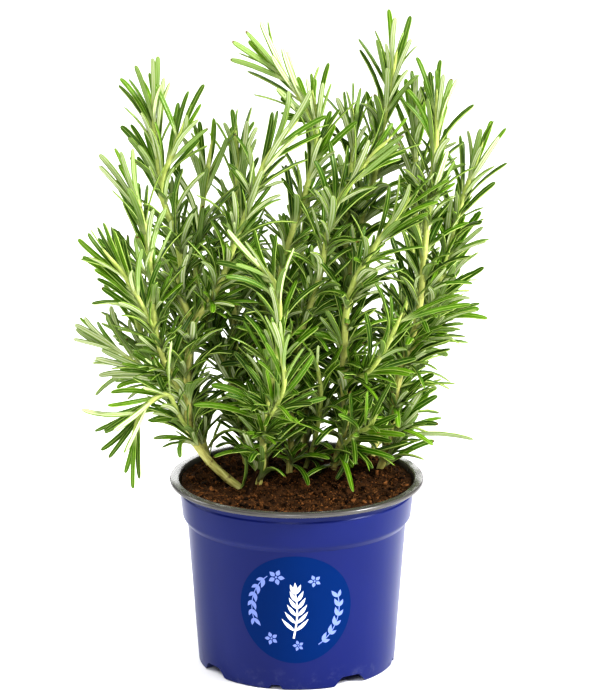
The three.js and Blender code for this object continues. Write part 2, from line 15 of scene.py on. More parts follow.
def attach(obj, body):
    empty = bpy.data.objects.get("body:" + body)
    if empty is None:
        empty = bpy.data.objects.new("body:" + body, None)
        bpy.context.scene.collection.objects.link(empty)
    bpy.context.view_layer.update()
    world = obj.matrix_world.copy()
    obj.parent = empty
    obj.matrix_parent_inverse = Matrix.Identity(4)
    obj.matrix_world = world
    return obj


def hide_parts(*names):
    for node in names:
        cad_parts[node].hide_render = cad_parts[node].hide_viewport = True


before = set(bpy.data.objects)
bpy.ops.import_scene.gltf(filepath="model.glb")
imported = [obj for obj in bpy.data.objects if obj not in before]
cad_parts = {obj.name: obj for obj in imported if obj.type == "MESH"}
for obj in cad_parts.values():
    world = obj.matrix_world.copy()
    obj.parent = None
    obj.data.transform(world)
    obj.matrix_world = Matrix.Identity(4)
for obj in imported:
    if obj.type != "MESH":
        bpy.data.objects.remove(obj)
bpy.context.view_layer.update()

MM = 0.001
DEG = math.pi / 180

# ---- pot ----
POT_HEIGHT = 98
RIM_RADIUS = 65
RIM_WIDTH = 4.8
RIM_THICK = {"inner": 2.6, "outer": 2.3}
COLLAR_TOP_RADIUS = 59.9
COLLAR_BOTTOM_RADIUS = 58.5
COLLAR_TOP = 91.3
COLLAR_BOTTOM = 78.2
BODY_TOP_RADIUS = 56.1
BODY_TOP = 75.2
NECK = [(59.35, 92), (60.3, 95)]
BASE_RADIUS = 50.5
WALL = 1.2
RIM_GREY = 2.7
FLOOR_TOP = 6.2
POT_SEGMENTS = 200
MIDDLE_RADIUS = 18
RING_INNER = 20
RING_OUTER = 34
FEET_INNER = 36
RING_HEIGHT = 5
NOTCHES = 4
ABOVE_NOTCHES = 9  # a ring of points here keeps the cuts out of the tall wall faces
WIDE_NOTCH = {"height": 5, "top": 9, "bottom": 21, "turn": 33}
SMALL_NOTCH = {"height": 2.4, "top": 3.5, "bottom": 8.5, "turn": 78}
DRAIN_HOLE_RADIUS = 4
ROUNDING = 1.1
SHARP_ROUNDING = 0.45
SHARP_ANGLE = 35

# ---- printed disc ----
DISC_CENTRE = (-0.6, 44)
DISC_RADIUS = 29.1
PRINT_LIFT = {"ground": 0.05, "border": 0.08, "sprig": 0.1}
SPRIG_POINTS = 25
SPRIG_PAIRS = 6
BORDER_RADIUS = 22.6
BORDER_ARCS = [(128, 198), (-58, 18)]
BORDER_POINTS = 24
FLOWERS = [(-9.5, 17.5, 1.0), (9.5, 15.5, 0.8), (-12.5, -16, 0.85), (1.5, -19.5, 0.7)]
PETALS = 5

# ---- soil ----
SOIL_TOP = 91.5
SOIL_HEAP = 2.5
SOIL_EDGE_RISE = 1.9
SOIL_LUMP = 0.9
SOIL_GRAINS = [(1.3, 0.22, 3), (0.9, 0.55, 7), (0.55, 1.3, 1)]  # height, grains per mm, layer of noise
SOIL_EDGE = (59.2, 94.6)
SOIL_RINGS = 78
SOIL_SEGMENTS = 260
MOUND = {"height": 1.8, "radius": 5}
HOLE_DEPTH = 15
GAP = 0.3

# ---- stems ----
STEM_STEP = 22
STEM_TURN = 16 * DEG
STEM_TIP_RADIUS = 0.9
FINE_STEPS = 8
STEM_SIDES = 10
RING_EVERY = 2.6
STEM_FINE = 0.84
SHOOT_TIP_RADIUS = 1.2
SHOOT_END = {"length": 9, "share": 0.45}
END_RINGS = [(0, 1), (1.2, 0.7), (2.2, 0.25)]  # millimetres past the end, and share of its radius
LEAF_NODE = {"length": 1.1, "swell": 0.1}
YOUNG_BARK_LENGTH = 90
BARK_MAP_LENGTH = 100
MAIN_SEED = 1000
LOOKS_SEED = 77000
BLADE_SEED = 2207
ROOM_CAPACITY = 12000

# ---- leaves ----
LEAF_LENGTH = 30
LEAF_WIDTH = 2.75
YOUNG = {"spread": 15, "curl": 6, "size": 0.78}
OLD = {"spread": 65, "curl": 42, "size": 1}
AGEING_LENGTH = 100
GROWING_LENGTH = 30
PAIR_SPACING = 13
QUARTER_TURN = 90
TURN_SPREAD = 24
DEPTH_SPREAD = 16
LISTED_LENGTH = 14
LOWEST_ROOT = 3
ROOT_BELOW_TIP = 4
LEAF_REACH = 1.35
LEAF_OUTER = 0.4
SISTER_ROOM = 1.8
RIM_ROOM = 4
CLEAR_OF_SOIL = 96
CLEAR_OF_RIM = 101
FRONT_TILT = 0.276
WIDEST_ROOM = 5

# Listed leaves twist their broad side towards the camera, by a share of the angle up to the most.
# The leaf whose tip is named shows its underside, and is turned by that share whatever the angle.
TO_FRONT = np.array([0, -0.964, 0.266])
MOST_TWIST = 65 * DEG
TWIST_SHARE = 0.8
UNDERSIDE_SEEN = [(91, 112)]

# A random range is its lowest number and how much more it may be.
PAIR_RANGES = {"spread": (0.8, 0.4), "curl": (0.6, 0.8), "length": (0.82, 0.3)}
BETWEEN_RANGES = {"spread": (0.45, 0.5), "curl": (0.4, 0.9), "length": (0.82, 0.35)}
BOW = (0.03, 0.1)
SWAY = 0.025
TWIST = {"whole": 0.22, "along": 0.35}
ROOT_IN_STEM = 0.75
YOUTH_LENGTH = 28
WIDENING_LENGTH = 60

# What is added between the main leaves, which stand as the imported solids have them. A low leaf is
# given by its stem, the distance of its root along it, its tip, how far its middle is off a straight
# line, and its width against a common leaf's. It isn't moved where it has no room.
LOW_SEEN = [
    ("stem_right", 36, (50, -5, 105), (0, 0, 3), 1.1),
    ("stem_right", 34, (38.8, -4, 103), (1, 0, 3), 1.0),
    ("stem_right", 37, (19.7, -5, 97), (4, -3, 3), 1.0),
    ("stem_right", 30, (28.6, -20, 95.6), (0, 0, 4), 1.35),
    ("stem_right", 21, (57, 3, 115), (0, -1, 2), 1.5),
    ("stem_right", 22, (3.2, -3, 97.5), (0, -2, 2.5), 1.1),
    ("stem_far_right", 42, (70, 8, 112), (0, 0, 2.5), 1.2),
    ("stem_left", 15.5, (-26, -13, 112), (1.5, -1, 0), 1.2),
    ("stem_leaning", 24, (6, -12, 96.5), (0, -1, 3), 1.0),
    ("stem_sprout", 24, (12, 8, 97), (1, -2, 3), 0.95),
]
LOW_YOUTH = 0.25
LOW_RADIUS = 0.5
LOW_SHARE = 0.95
LOW_LEAVES = {"stem_left": 128, "stem_right": 120}  # bare below these heights
BARE_BELOW = 99
LISTED_SHARE = 0.8
BETWEEN = (0.5, 45)  # the first pair below the tip, in pair spacings, and its turn in degrees
FILLING = [(6.25, 20), (9.75, 70)]
BUD_LEAVES = 4
LISTED_BUD_LEAVES = 1
# Each bud leaf is longer, spread wider and broader than the one above it.
BUD = {"spacing": 1.4, "length": 10, "longer": 2.2, "spread": 4, "wider": 3, "width": 0.66, "broader": 0.04}
BUD_LENGTH_RANGE = 4
BUD_CURL_RANGE = 12
GOLDEN_TURN = 137.5
TUFT_SHARE = 0.5
TUFT_BELOW = 42
TUFT_LEAVES = 6
TUFT_FOOT = 0.6
TUFT_STEP = 1.1
TUFT_SPREAD = {"first": 30, "less": 4, "range": 12}
TUFT_RANGES = {"lean": (14, 20), "grown": (0.6, 0.6), "curl": (5, 25), "length": (14, 11),
               "youth": (0.4, 0.3), "width": (0.74, 0.16)}
CLOSE = {"reach": 1.1, "sister_room": 1.3}
TIGHT = {"reach": 0.5, "sister_room": 0.55}
CLASPING = {"reach": 0.5, "sister_room": 0.25, "clasping": True}

# ---- loose soil ----
BIG_CRUMBS = {"count": 620, "sizes": (0.5, 1.35), "subdivisions": 2}
SMALL_CRUMBS = {"count": 3200, "sizes": (0.22, 0.6), "subdivisions": 1}
CRUMB_REACH = 57.7
CRUMB_SEED = 51
FIBRES = 130
FIBRE_POINTS = 8
FIBRE_REACH = 54
FIBRE_TURNS_AT = 56.5
FIBRE_SEED = 8
TWIG = [(-26, -19, 88), (-24.6, -17.6, 94), (-22.6, -15.8, 99.5), (-20.2, -14.2, 104), (-18.6, -13.6, 107)]
TWIG_RADII = (1.7, 1.5, 1.35, 1.1, 0.5)

# ---- light and camera, in metres ----
WORLD_LIGHT = 0.16
PLANT_MIDDLE = (0, 0, 0.18)
LIGHTS = {
    "key": {"place": (1.85, -0.75, 1.35), "size": (0.6, 0.7), "power": 74, "target": PLANT_MIDDLE},
    "side": {"place": (-1.7, 0.5, 1.2), "size": (0.8, 1.0), "power": 22, "target": PLANT_MIDDLE},
    "front": {"place": (-0.3, -2.2, 1.3), "size": (0.7, 0.7), "power": 22, "target": PLANT_MIDDLE},
    "overhead": {"place": (0, 0.6, 2.8), "size": (5, 5), "power": 64, "target": (0, 0.6, 0)},
    "back": {"place": (0, 3.0, 0.9), "size": (2.4, 0.5), "power": 15, "target": PLANT_MIDDLE},
}
FLOOR_SIZE = 16
FLOOR_DROP = 0.1 * MM
CAMERA_PLACE = (0.0017, -1.9278, 0.6972)
CAMERA_TILT = 74.56
CAMERA_LENS = 202.67
SENSOR_WIDTH = 36


def rooted_at(x, y):
    """The first two points of a rooted stem's route: straight up out of the soil."""
    return (x, y, SOIL_TOP - HOLE_DEPTH + GAP), (x, y, SOIL_TOP)


# Every stem that stands in the soil, with its shoots. Each shoot has a radius, the leafless length
# at its start, a route, and the (x, z) places of the leaf tips that stand out from the front. A
# route is the smooth centre line of a shoot. A side shoot starts on a point of its parent's route.
STEMS = {
    "stem_left": [
        (2.7, 48, [*rooted_at(-28, -8), (-36, -9, 100), (-46, -11, 111), (-54, -12, 125), (-55, -12, 142),
         (-55, -11, 160), (-53, -10, 180), (-59, -8, 198), (-58, -7, 212), (-62, -6, 230), (-68, -6, 251),
         (-61, -8, 270), (-56, -8, 284)],
         [(-46, 304), (-54, 301), (-59, 295), (-71, 305), (-44, 281)]),
        (1.4, 6, [(-68, -6, 251), (-70, -2, 268), (-71, 0, 282), (-72, 1, 296)],
         [(-69, 316), (-71, 314), (-80, 311), (-66, 305), (-88, 305), (-89, 302), (-76, 279), (-83, 282),
          (-88, 281), (-84, 275), (-79, 271), (-83, 265)]),
        (1.7, 14, [(-55, -12, 142), (-65, -20, 161), (-70, -23, 178), (-72, -24, 196), (-73, -24, 216),
         (-77, -19, 240), (-85, -16, 260)],
         [(-87, 271), (-98, 270), (-98, 264), (-90, 257), (-79, 256)]),
        (1.3, 8, [(-70, -23, 178), (-76, -30, 194), (-83, -35, 209), (-95, -41, 227)],
         [(-95, 241), (-103, 236), (-108, 233), (-106, 224), (-100, 217), (-99, 212), (-90, 237),
          (-86, 233), (-97, 207)]),
        (1.3, 12, [(-55, -12, 142), (-67, -4, 151), (-82, 6, 156), (-103, 15, 170)],
         [(-113, 174), (-108, 178), (-97, 179), (-95, 184), (-103, 157), (-94, 148), (-103, 138),
          (-92, 143)]),
        (1.4, 26, [(-54, -12, 125), (-60, -22, 138), (-64, -28, 149), (-71, -34, 149), (-78, -38, 142),
         (-82, -41, 132)],
         [(-82, 104), (-86, 112), (-79, 109), (-94, 120), (-98, 124), (-96, 134), (-107, 145), (-94, 147),
          (-93, 153)]),
        (1.8, 12, [(-53, -10, 180), (-40, -17, 201), (-33, -20, 219), (-26, -19, 238), (-18, -17, 261),
         (-10, -16, 275), (0, -17, 287)],
         [(7, 302), (-4, 302), (15, 290), (12, 281), (-12, 292)]),
    ],
    "stem_front": [
        (2.1, 26, [*rooted_at(-20, -5), (-17, -12, 110), (-17, -20, 131), (-13, -25, 153), (-9, -28, 178),
         (-9, -30, 201), (-14, -33, 213), (-24, -36, 222)],
         [(-40, 220), (-34, 236), (-30, 221), (-35, 212), (-26, 191), (-31, 171), (-43, 153), (-52, 142),
          (-18, 119), (-27, 128)]),
        (1.2, 12, [(-17, -20, 131), (-10, -38, 146), (-6, -50, 162), (-8, -54, 182)], []),
    ],
    "stem_centre": [
        (2.2, 30, [*rooted_at(-17, 16), (-14, 12, 128), (-9, 4, 165), (-9, -3, 195), (-6, -4, 215),
         (2, -4, 240), (8, -4, 262), (10, -4, 281), (8, -4, 298)],
         [(16, 314), (5, 305), (13, 303), (11, 294), (17, 290), (19, 283), (30, 284)]),
        (1.3, 6, [(10, -4, 281), (1, 0, 296), (-8, 4, 308), (-18, 6, 318)],
         [(-18, 333), (-24, 324), (-32, 322), (-33, 313), (-7, 319), (-10, 299), (-8, 295)]),
    ],
    "stem_leaning": [
        (2.1, 30, [*rooted_at(-4, 12), (-3, 8, 116), (-3, 4, 140), (-1, 0, 160), (5, -8, 185),
         (12, -13, 208), (17, -16, 237), (26, -17, 254), (38, -17, 270), (46, -17, 278)],
         [(51, 275), (54, 272), (38, 283), (9, 267)]),
    ],
    "stem_right": [
        (2.6, 38, [*rooted_at(17, 18), (22, 16, 107), (25, 9, 128), (24, 2, 146), (24, -7, 168),
         (26, -16, 196), (34, -21, 216), (46, -27, 236), (56, -31, 251)],
         [(75, 260), (61, 258), (68, 250), (65, 243)]),
        (1.5, 8, [(24, 2, 146), (37, -14, 158), (45, -23, 173), (52, -31, 191)],
         [(87, 197), (81, 202), (39, 208)]),
        (1.2, 12, [(22, 16, 107), (30, -4, 122), (36, -22, 130), (40, -34, 140)],
         [(50, 109), (39, 108), (29, 98)]),
    ],
    "stem_tall": [
        (2.3, 30, [*rooted_at(30, 33), (27, 34, 130), (24, 30, 168), (26, 26, 196), (31, 24, 221),
         (39, 20, 249), (43, 16, 275), (47, 13, 298), (50, 12, 316)],
         [(46, 338), (49, 333), (57, 335), (40, 322), (31, 323), (57, 322), (52, 305), (35, 296),
          (45, 307)]),
        (1.5, 12, [(26, 26, 196), (25, 18, 222), (26, 14, 244), (29, 14, 268), (28, 14, 287)],
         [(24, 296), (20, 292), (32, 297), (30, 290), (21, 263)]),
    ],
    "stem_far_right": [
        (2.3, 28, [*rooted_at(42, 19), (48, 19, 112), (51, 13, 140), (56, 8, 160), (62, 3, 184),
         (64, 0, 210), (67, -2, 246), (70, 0, 275), (70, 2, 297)],
         [(60, 316), (67, 309), (72, 315), (77, 304), (55, 299), (75, 280), (75, 268), (79, 263),
          (70, 149), (64, 140), (72, 137), (62, 127), (91, 112), (71, 111)]),
        (1.6, 10, [(56, 8, 160), (65, 11, 170), (72, 13, 195), (80, 10, 228), (87, 7, 252), (93, 5, 270)],
         [(98, 283), (101, 274), (92, 278), (82, 275), (82, 251), (78, 241), (85, 234), (93, 235),
          (95, 205), (80, 206), (93, 183), (97, 178), (77, 172), (77, 159)]),
        (1.4, 12, [(64, 0, 210), (60, 10, 236), (60, 16, 262), (59, 18, 292)],
         [(58, 306), (55, 302), (60, 303), (48, 294), (63, 297)]),
    ],
    "stem_back_left": [
        (2.2, 30, [*rooted_at(-26, 32), (-30, 29, 130), (-32, 26, 168), (-33, 26, 205), (-30, 28, 240),
         (-31, 28, 272)],
         [(-33, 284), (-33, 275), (-25, 277), (-20, 274), (-26, 257)]),
        (1.6, 16, [(-30, 29, 130), (-43, 19, 168), (-51, 13, 196), (-49, 15, 226), (-43, 16, 268)],
         [(-42, 282), (-49, 280), (-53, 281), (-35, 271), (-57, 271)]),
    ],
    "stem_back": [
        (2.2, 28, [*rooted_at(4, 44), (4, 50, 128), (1, 54, 168), (3, 55, 208), (9, 52, 250)], []),
        (1.6, 12, [(4, 50, 128), (-12, 58, 158), (-24, 62, 190), (-28, 60, 226)], []),
        (1.4, 12, [(4, 50, 128), (10, 68, 142), (16, 80, 168), (17, 86, 196)], []),
    ],
    "stem_back_right": [
        (2.1, 28, [*rooted_at(38, 38), (48, 46, 128), (55, 49, 168), (60, 46, 208), (61, 42, 246)], []),
        (1.5, 12, [(48, 46, 128), (64, 54, 150), (74, 56, 178), (80, 54, 212)], []),
    ],
    "stem_far_left": [
        (2.1, 28, [*rooted_at(-44, 20), (-52, 32, 122), (-58, 38, 156), (-60, 40, 196), (-63, 38, 232)],
         []),
        (1.5, 12, [(-52, 32, 122), (-70, 40, 140), (-82, 42, 166), (-88, 40, 196)], []),
    ],
    "stem_sprout": [
        (1.5, 26, [*rooted_at(4, 26), (9, 16, 111), (12, 6, 131), (12, -8, 148), (10, -18, 164)], []),
    ],
}

# ---------------------------------------------------------------------------------------------
# shoots


def random_source(seed):
    """A repeatable random source of numbers from 0 to 1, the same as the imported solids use."""
    state = seed & 0xFFFFFFFF

    def draw():
        nonlocal state
        state = (state + 0x6D2B79F5) & 0xFFFFFFFF
        mixed = ((state ^ (state >> 15)) * (1 | state)) & 0xFFFFFFFF
        again = ((mixed ^ (mixed >> 7)) * (61 | mixed)) & 0xFFFFFFFF
        mixed = ((mixed + again) ^ mixed) & 0xFFFFFFFF
        return (mixed ^ (mixed >> 14)) / 4294967296

    return draw


def unit(vector):
    return vector / np.linalg.norm(vector)


def units(vectors):
    """Each vector of an array, made one long."""
    return vectors / np.linalg.norm(vectors, axis=-1, keepdims=True)


def lerp(start, end, share):
    return start + (end - start) * share


def drawn(random, low, more):
    """A random number from low to low + more."""
    return low + more * random()


def smooth_points(route, steps):
    """Points at even steps on the smooth curve through a route."""
    knots = np.array([2 * route[0] - route[1], *route, 2 * route[-1] - route[-2]])
    last = len(route) - 1
    points = []
    for place in np.linspace(0, last, steps + 1):
        i = min(int(place), last - 1)
        t = place - i
        before, start, end, after = knots[i:i + 4]
        leave, arrive = (end - before) / 2, (after - start) / 2
        points.append(start + leave * t + (3 * (end - start) - 2 * leave - arrive) * t**2
                      + (2 * (start - end) + leave + arrive) * t**3)
    return np.array(points)


class CentreLine:
    """A shoot's centre line, read by distance from its start."""

    def __init__(self, points):
        self.points = np.array(points, float)
        self.steps = np.linalg.norm(np.diff(self.points, axis=0), axis=1)
        self.distances = np.concatenate([[0], np.cumsum(self.steps)])
        self.length = self.distances[-1]
        self.walk = np.arange(self.length, 0, -1)
        self.walked = np.stack([np.interp(self.walk, self.distances, column) for column in self.points.T],
                               axis=1)

    def turning(self):
        """How far the line turns from end to end, as an angle."""
        ways = np.diff(self.points, axis=0) / self.steps[:, None]
        return np.arccos(np.clip((ways[1:] * ways[:-1]).sum(1), -1, 1)).sum()

    def point(self, distance):
        return self.at(distance)[0]

    def at(self, distance):
        """The place at a distance: its point and three directions square to each other."""
        s = min(max(distance, 0), self.length)
        i = min(max(int(np.searchsorted(self.distances, s)), 1), len(self.points) - 1)
        share = (s - self.distances[i - 1]) / self.steps[i - 1]
        along = (self.points[i] - self.points[i - 1]) / self.steps[i - 1]
        side = unit(np.cross([0, 1, 0], along))
        return lerp(self.points[i - 1], self.points[i], share), along, side, np.cross(along, side)


def centre_lines(route):
    """A route's smooth centre line, and the same taken in the straight steps of the solids."""
    knots = np.array(route, float)
    fine = CentreLine(smooth_points(knots, FINE_STEPS * (len(knots) - 1)))
    steps = math.ceil(max(fine.length / STEM_STEP, fine.turning() / STEM_TURN))
    return fine, CentreLine([fine.point(fine.length * i / steps) for i in range(steps + 1)])


# ---------------------------------------------------------------------------------------------
# leaves


class Leaf:
    """A leaf by its root, its tip and a bend half way, with what its looks need."""

    def __init__(self, s, root, tip, up, bow=None):
        self.s = s
        self.root, self.tip, self.up = root, tip, up
        self.bow = bow
        self.small = False
        self.youth = 0.0
        self.width = 1.0
        self.twist = 0.0
        self.stem_radius = 0.0


def habit(from_tip):
    """How a leaf stands at a distance below the shoot's tip: nearly along it, then spreading."""
    age = 1 - math.exp(-from_tip / AGEING_LENGTH)
    grown = min(1, from_tip / GROWING_LENGTH)
    return {"spread": lerp(YOUNG["spread"], OLD["spread"], age) * DEG,
            "curl": lerp(YOUNG["curl"], OLD["curl"], age) * DEG,
            "length": LEAF_LENGTH * lerp(YOUNG["size"], OLD["size"], grown)}


def drawn_leaf(shoot, s, turn, ranges, random):
    """A leaf's turn about its shoot, spread, curl and length, drawn about the habit of its place."""
    turn = shoot["phase"] + (turn + TURN_SPREAD * (random() - 0.5)) * DEG
    common = habit(shoot["line"].length - s)
    return [turn, *(common[key] * drawn(random, *ranges[key]) for key in ("spread", "curl", "length"))]


def leaf_by_angles(s, place, angle, spread, curl, length):
    """A leaf by its angles: round the stem, away from it, and how far it curls back half way."""
    point, along, side, back = place
    out = side * math.cos(angle) + back * math.sin(angle)
    bend = point + (along * math.cos(spread) + out * math.sin(spread)) * length / 2
    tip = bend + (along * math.cos(spread + curl) + out * math.sin(spread + curl)) * length / 2
    return Leaf(s, point, tip, along, bend - (point + tip) / 2)


def nearest_to(line, point, axes=(0, 1, 2)):
    """Where a line passes nearest to a point, measured along some of the axes only."""
    axes = list(axes)
    return line.walk[np.argmin(np.linalg.norm(line.walked[:, axes] - point[axes], axis=1))]


def leaf_by_tip(line, tip):
    """A leaf whose tip is given: it leaves the shoot about one leaf's length below."""
    s = nearest_to(line, tip) - ROOT_BELOW_TIP
    while s > LOWEST_ROOT and np.linalg.norm(line.point(s) - tip) < LEAF_LENGTH:
        s -= 1
    point, along, _, _ = line.at(s)
    return Leaf(s, point, tip, along)


class Room:
    """The room that the leaves and stems fill, so that no leaf grows through another."""

    def __init__(self, capacity):
        self.count = 0
        self.stem = np.zeros(capacity, int)
        self.a, self.b, self.outer, self.middle = np.zeros((4, capacity, 3))
        self.radius, self.half = np.zeros((2, capacity))
        self.is_leaf = np.zeros(capacity, bool)

    def take(self, stem, a, b, radius, outer=None):
        i = self.count
        self.stem[i], self.a[i], self.b[i], self.radius[i] = stem, a, b, radius
        self.middle[i], self.half[i] = (a + b) / 2, np.linalg.norm(b - a) / 2
        self.is_leaf[i] = outer is not None
        self.outer[i] = a if outer is None else outer
        self.count += 1

    def is_clear(self, stem, root, tip, reach=LEAF_REACH, sister_room=SISTER_ROOM, clasping=False):
        """Whether a leaf is clear of the other stems, and of the free parts of its own.

        A leaf that clasps its own stem may touch it.
        """
        offset = self.middle[:self.count] - (root + tip) / 2
        most = np.linalg.norm(tip - root) / 2 + self.half[:self.count] + WIDEST_ROOM
        near = np.flatnonzero(np.einsum("ij,ij->i", offset, offset) <= most * most)
        sister, is_leaf = self.stem[near] == stem, self.is_leaf[near]
        own = np.maximum(sister_room, np.where(is_leaf | clasping, 0, self.radius[near] + 1))
        room = np.where(sister, own, reach + self.radius[near] + GAP)
        start = np.where(sister[:, None], lerp(root, tip, LEAF_OUTER), root)
        other = np.where((sister & is_leaf)[:, None], self.outer[near], self.a[near])
        return bool((segment_distances(start, tip, other, self.b[near]) > room).all())


def segment_distances(a, b, c, d):
    """The least distances between the segments a-b and c-d, row by row."""
    u, v, w = b - a, d - c, a - c
    uu, uv, vv = (u * u).sum(1), (u * v).sum(1), (v * v).sum(1)
    uw, vw = (u * w).sum(1), (v * w).sum(1)
    spread = uu * vv - uv * uv
    s = np.where(spread > 1e-9, ((uv * vw - vv * uw) / np.maximum(spread, 1e-9)).clip(0, 1), 0)
    t = (uv * s + vw) / vv
    s = np.where((t < 0) | (t > 1), ((uv * t.clip(0, 1) - uw) / uu).clip(0, 1), s)
    return np.linalg.norm(w + u * s[:, None] - v * t.clip(0, 1)[:, None], axis=1)


def clears_pot(leaf):
    """A leaf keeps above the soil and the rim, which it may hang over."""
    t = 0.1
    while t <= 1:
        x, y, z = lerp(leaf.root, leaf.tip, t)
        distance = math.hypot(x, y)
        lowest = CLEAR_OF_SOIL if distance < COLLAR_BOTTOM_RADIUS - RIM_ROOM else CLEAR_OF_RIM
        if distance < RIM_RADIUS + RIM_ROOM and z < lowest:
            return False
        t += 0.15
    return True


# Where a leaf with no room is tried next: further back or forward by millimetres, and turned
# round the stem by degrees with a share of its spread.
DEPTH_TRIES = [0, 5, -5, 10, -10, 15, -15]
ANGLE_TRIES = [(0, 1), (22, 1), (-22, 1), (0, 0.7), (44, 1), (-44, 1), (22, 0.6), (-22, 0.6), (0, 0.4)]


def twist_to_front(leaf, underside):
    """The twist that turns a leaf's nearer face, or its underside, most of the way to the front."""
    chord = leaf.tip - leaf.root
    ahead = unit(chord)
    side = unit(np.cross(ahead, np.cross(np.cross(chord, leaf.up), ahead)))
    angle = math.atan2(-(side @ TO_FRONT), np.cross(side, ahead) @ TO_FRONT)
    if underside or abs(angle) > math.pi / 2:
        angle -= math.copysign(math.pi, angle)
    return TWIST_SHARE * (angle if underside else max(-MOST_TWIST, min(MOST_TWIST, angle)))


class Plant:
    """The shoots with all their leaves, each leaf in room of its own."""

    def __init__(self):
        self.room = Room(ROOM_CAPACITY)
        self.shoots = []
        for index, (name, shoots) in enumerate(STEMS.items()):
            for place, (radius, bare, route, tips) in enumerate(shoots):
                fine, line = centre_lines(route)
                self.shoots.append({
                    "stem": index, "name": name, "first": place == 0, "radius": radius, "bare": bare,
                    "tips": tips, "fine": fine, "line": line, "leaves": [],
                    "random": random_source(MAIN_SEED * (index + 1) + place),
                    "looks": random_source(LOOKS_SEED + 100 * index + place),
                })
                s = 0
                while s < line.length:
                    self.room.take(index, line.point(s), line.point(s + STEM_STEP), radius)
                    s += STEM_STEP
        for grow in (self.seen_leaves, self.paired_leaves, self.low_leaves, self.leaves_between,
                     self.filling_leaves, self.bud_leaves, self.axil_tufts):
            for shoot in self.shoots:
                grow(shoot)

    def first_clear(self, shoot, leaves, **room):
        """Grows the first of some leaves that has room, and gives it back."""
        for leaf in leaves:
            if clears_pot(leaf) and self.room.is_clear(shoot["stem"], leaf.root, leaf.tip, **room):
                outer = lerp(leaf.root, leaf.tip, LEAF_OUTER)
                self.room.take(shoot["stem"], leaf.root, leaf.tip, room.get("reach", LEAF_REACH), outer)
                shoot["leaves"].append(leaf)
                return leaf
        return None

    def seen_leaves(self, shoot):
        """The leaves that stand out from the front, at the tips that the shoot lists."""
        line, random = shoot["line"], shoot["random"]
        for x, z in shoot["tips"]:
            depth = DEPTH_SPREAD * (random() - 0.5)
            nearest = nearest_to(line, np.array([x, 0, z]), axes=(0, 2))
            base = line.point(nearest)[1]
            leaf = self.first_clear(shoot, (
                leaf_by_tip(line, np.array([x, base + depth + more, z - (depth + more) * FRONT_TILT]))
                for more in DEPTH_TRIES))
            if leaf:
                leaf.twist = twist_to_front(leaf, (x, z) in UNDERSIDE_SEEN)

    def grow_turned(self, shoot, s, turn, spread, curl, length, **room):
        """Grows a leaf by its angles, turned a little or closer to the shoot where it has no room."""
        place = shoot["line"].at(s)
        self.first_clear(shoot, (
            leaf_by_angles(s, place, turn + more * DEG, spread * narrow, curl * narrow, length)
            for more, narrow in ANGLE_TRIES), **room)

    def paired_leaves(self, shoot):
        """Opposite pairs along the shoot, each pair turned a quarter from the last."""
        line, random = shoot["line"], shoot["random"]
        shoot["phase"] = random() * math.pi
        s = line.length - 1 - (LISTED_LENGTH if shoot["tips"] else 0)
        count = 0
        while s > shoot["bare"]:
            for half in (0, 180):
                turn = QUARTER_TURN * count + half
                self.grow_turned(shoot, s, *drawn_leaf(shoot, s, turn, PAIR_RANGES, random))
            s -= PAIR_SPACING
            count += 1

    def low_leaves(self, shoot):
        """The leaves that hang or stand close over the soil, on the stems that are rooted there."""
        if shoot["first"]:
            for name, s, tip, bow, width in LOW_SEEN:
                if name == shoot["name"]:
                    point, along, _, _ = shoot["line"].at(s)
                    leaf = Leaf(s, point, np.array(tip, float), along, np.array(bow, float))
                    leaf.youth, leaf.width = LOW_YOUTH, width
                    outer = lerp(point, leaf.tip, LEAF_OUTER)
                    self.room.take(shoot["stem"], point, leaf.tip, LOW_RADIUS, outer)
                    shoot["leaves"].append(leaf)

    def leaves_between(self, shoot, start=BETWEEN[0], turned=BETWEEN[1]):
        """Pairs between the main ones, and looser leaves down the bare length."""
        line, random = shoot["line"], shoot["looks"]
        s = line.length - 1 - PAIR_SPACING * start - (LISTED_LENGTH * LISTED_SHARE if shoot["tips"] else 0)
        count = 0
        while s > HOLE_DEPTH / 2:
            below = s < shoot["bare"]
            lowest = LOW_LEAVES.get(shoot["name"], BARE_BELOW)
            for half in (0, 180):
                turn = QUARTER_TURN * count + turned + half
                leaf = drawn_leaf(shoot, s, turn, BETWEEN_RANGES, random)
                if not below or (random() <= LOW_SHARE and line.point(s)[2] >= lowest):
                    self.grow_turned(shoot, s, *leaf, **CLOSE)
            s -= PAIR_SPACING / 2 if below else PAIR_SPACING
            count += 1

    def filling_leaves(self, shoot):
        """More pairs at quarter places, from well below the shoot's tip."""
        for start, turned in FILLING:
            self.leaves_between(shoot, start, turned)

    def bud_leaves(self, shoot):
        """The youngest leaves, short and close together round the end of the shoot."""
        line, random = shoot["line"], shoot["looks"]
        for k in range(LISTED_BUD_LEAVES if shoot["tips"] else BUD_LEAVES):
            s = line.length - BUD["spacing"] * k
            length = BUD["length"] + BUD["longer"] * k + BUD_LENGTH_RANGE * random()
            turn, spread = shoot["phase"] + k * GOLDEN_TURN * DEG, (BUD["spread"] + BUD["wider"] * k) * DEG
            curl = BUD_CURL_RANGE * random() * DEG
            leaf = leaf_by_angles(s, line.at(s), turn, spread, curl, length)
            leaf.small, leaf.youth, leaf.width = True, 1, BUD["width"] + BUD["broader"] * k
            self.first_clear(shoot, [leaf], **CLASPING)

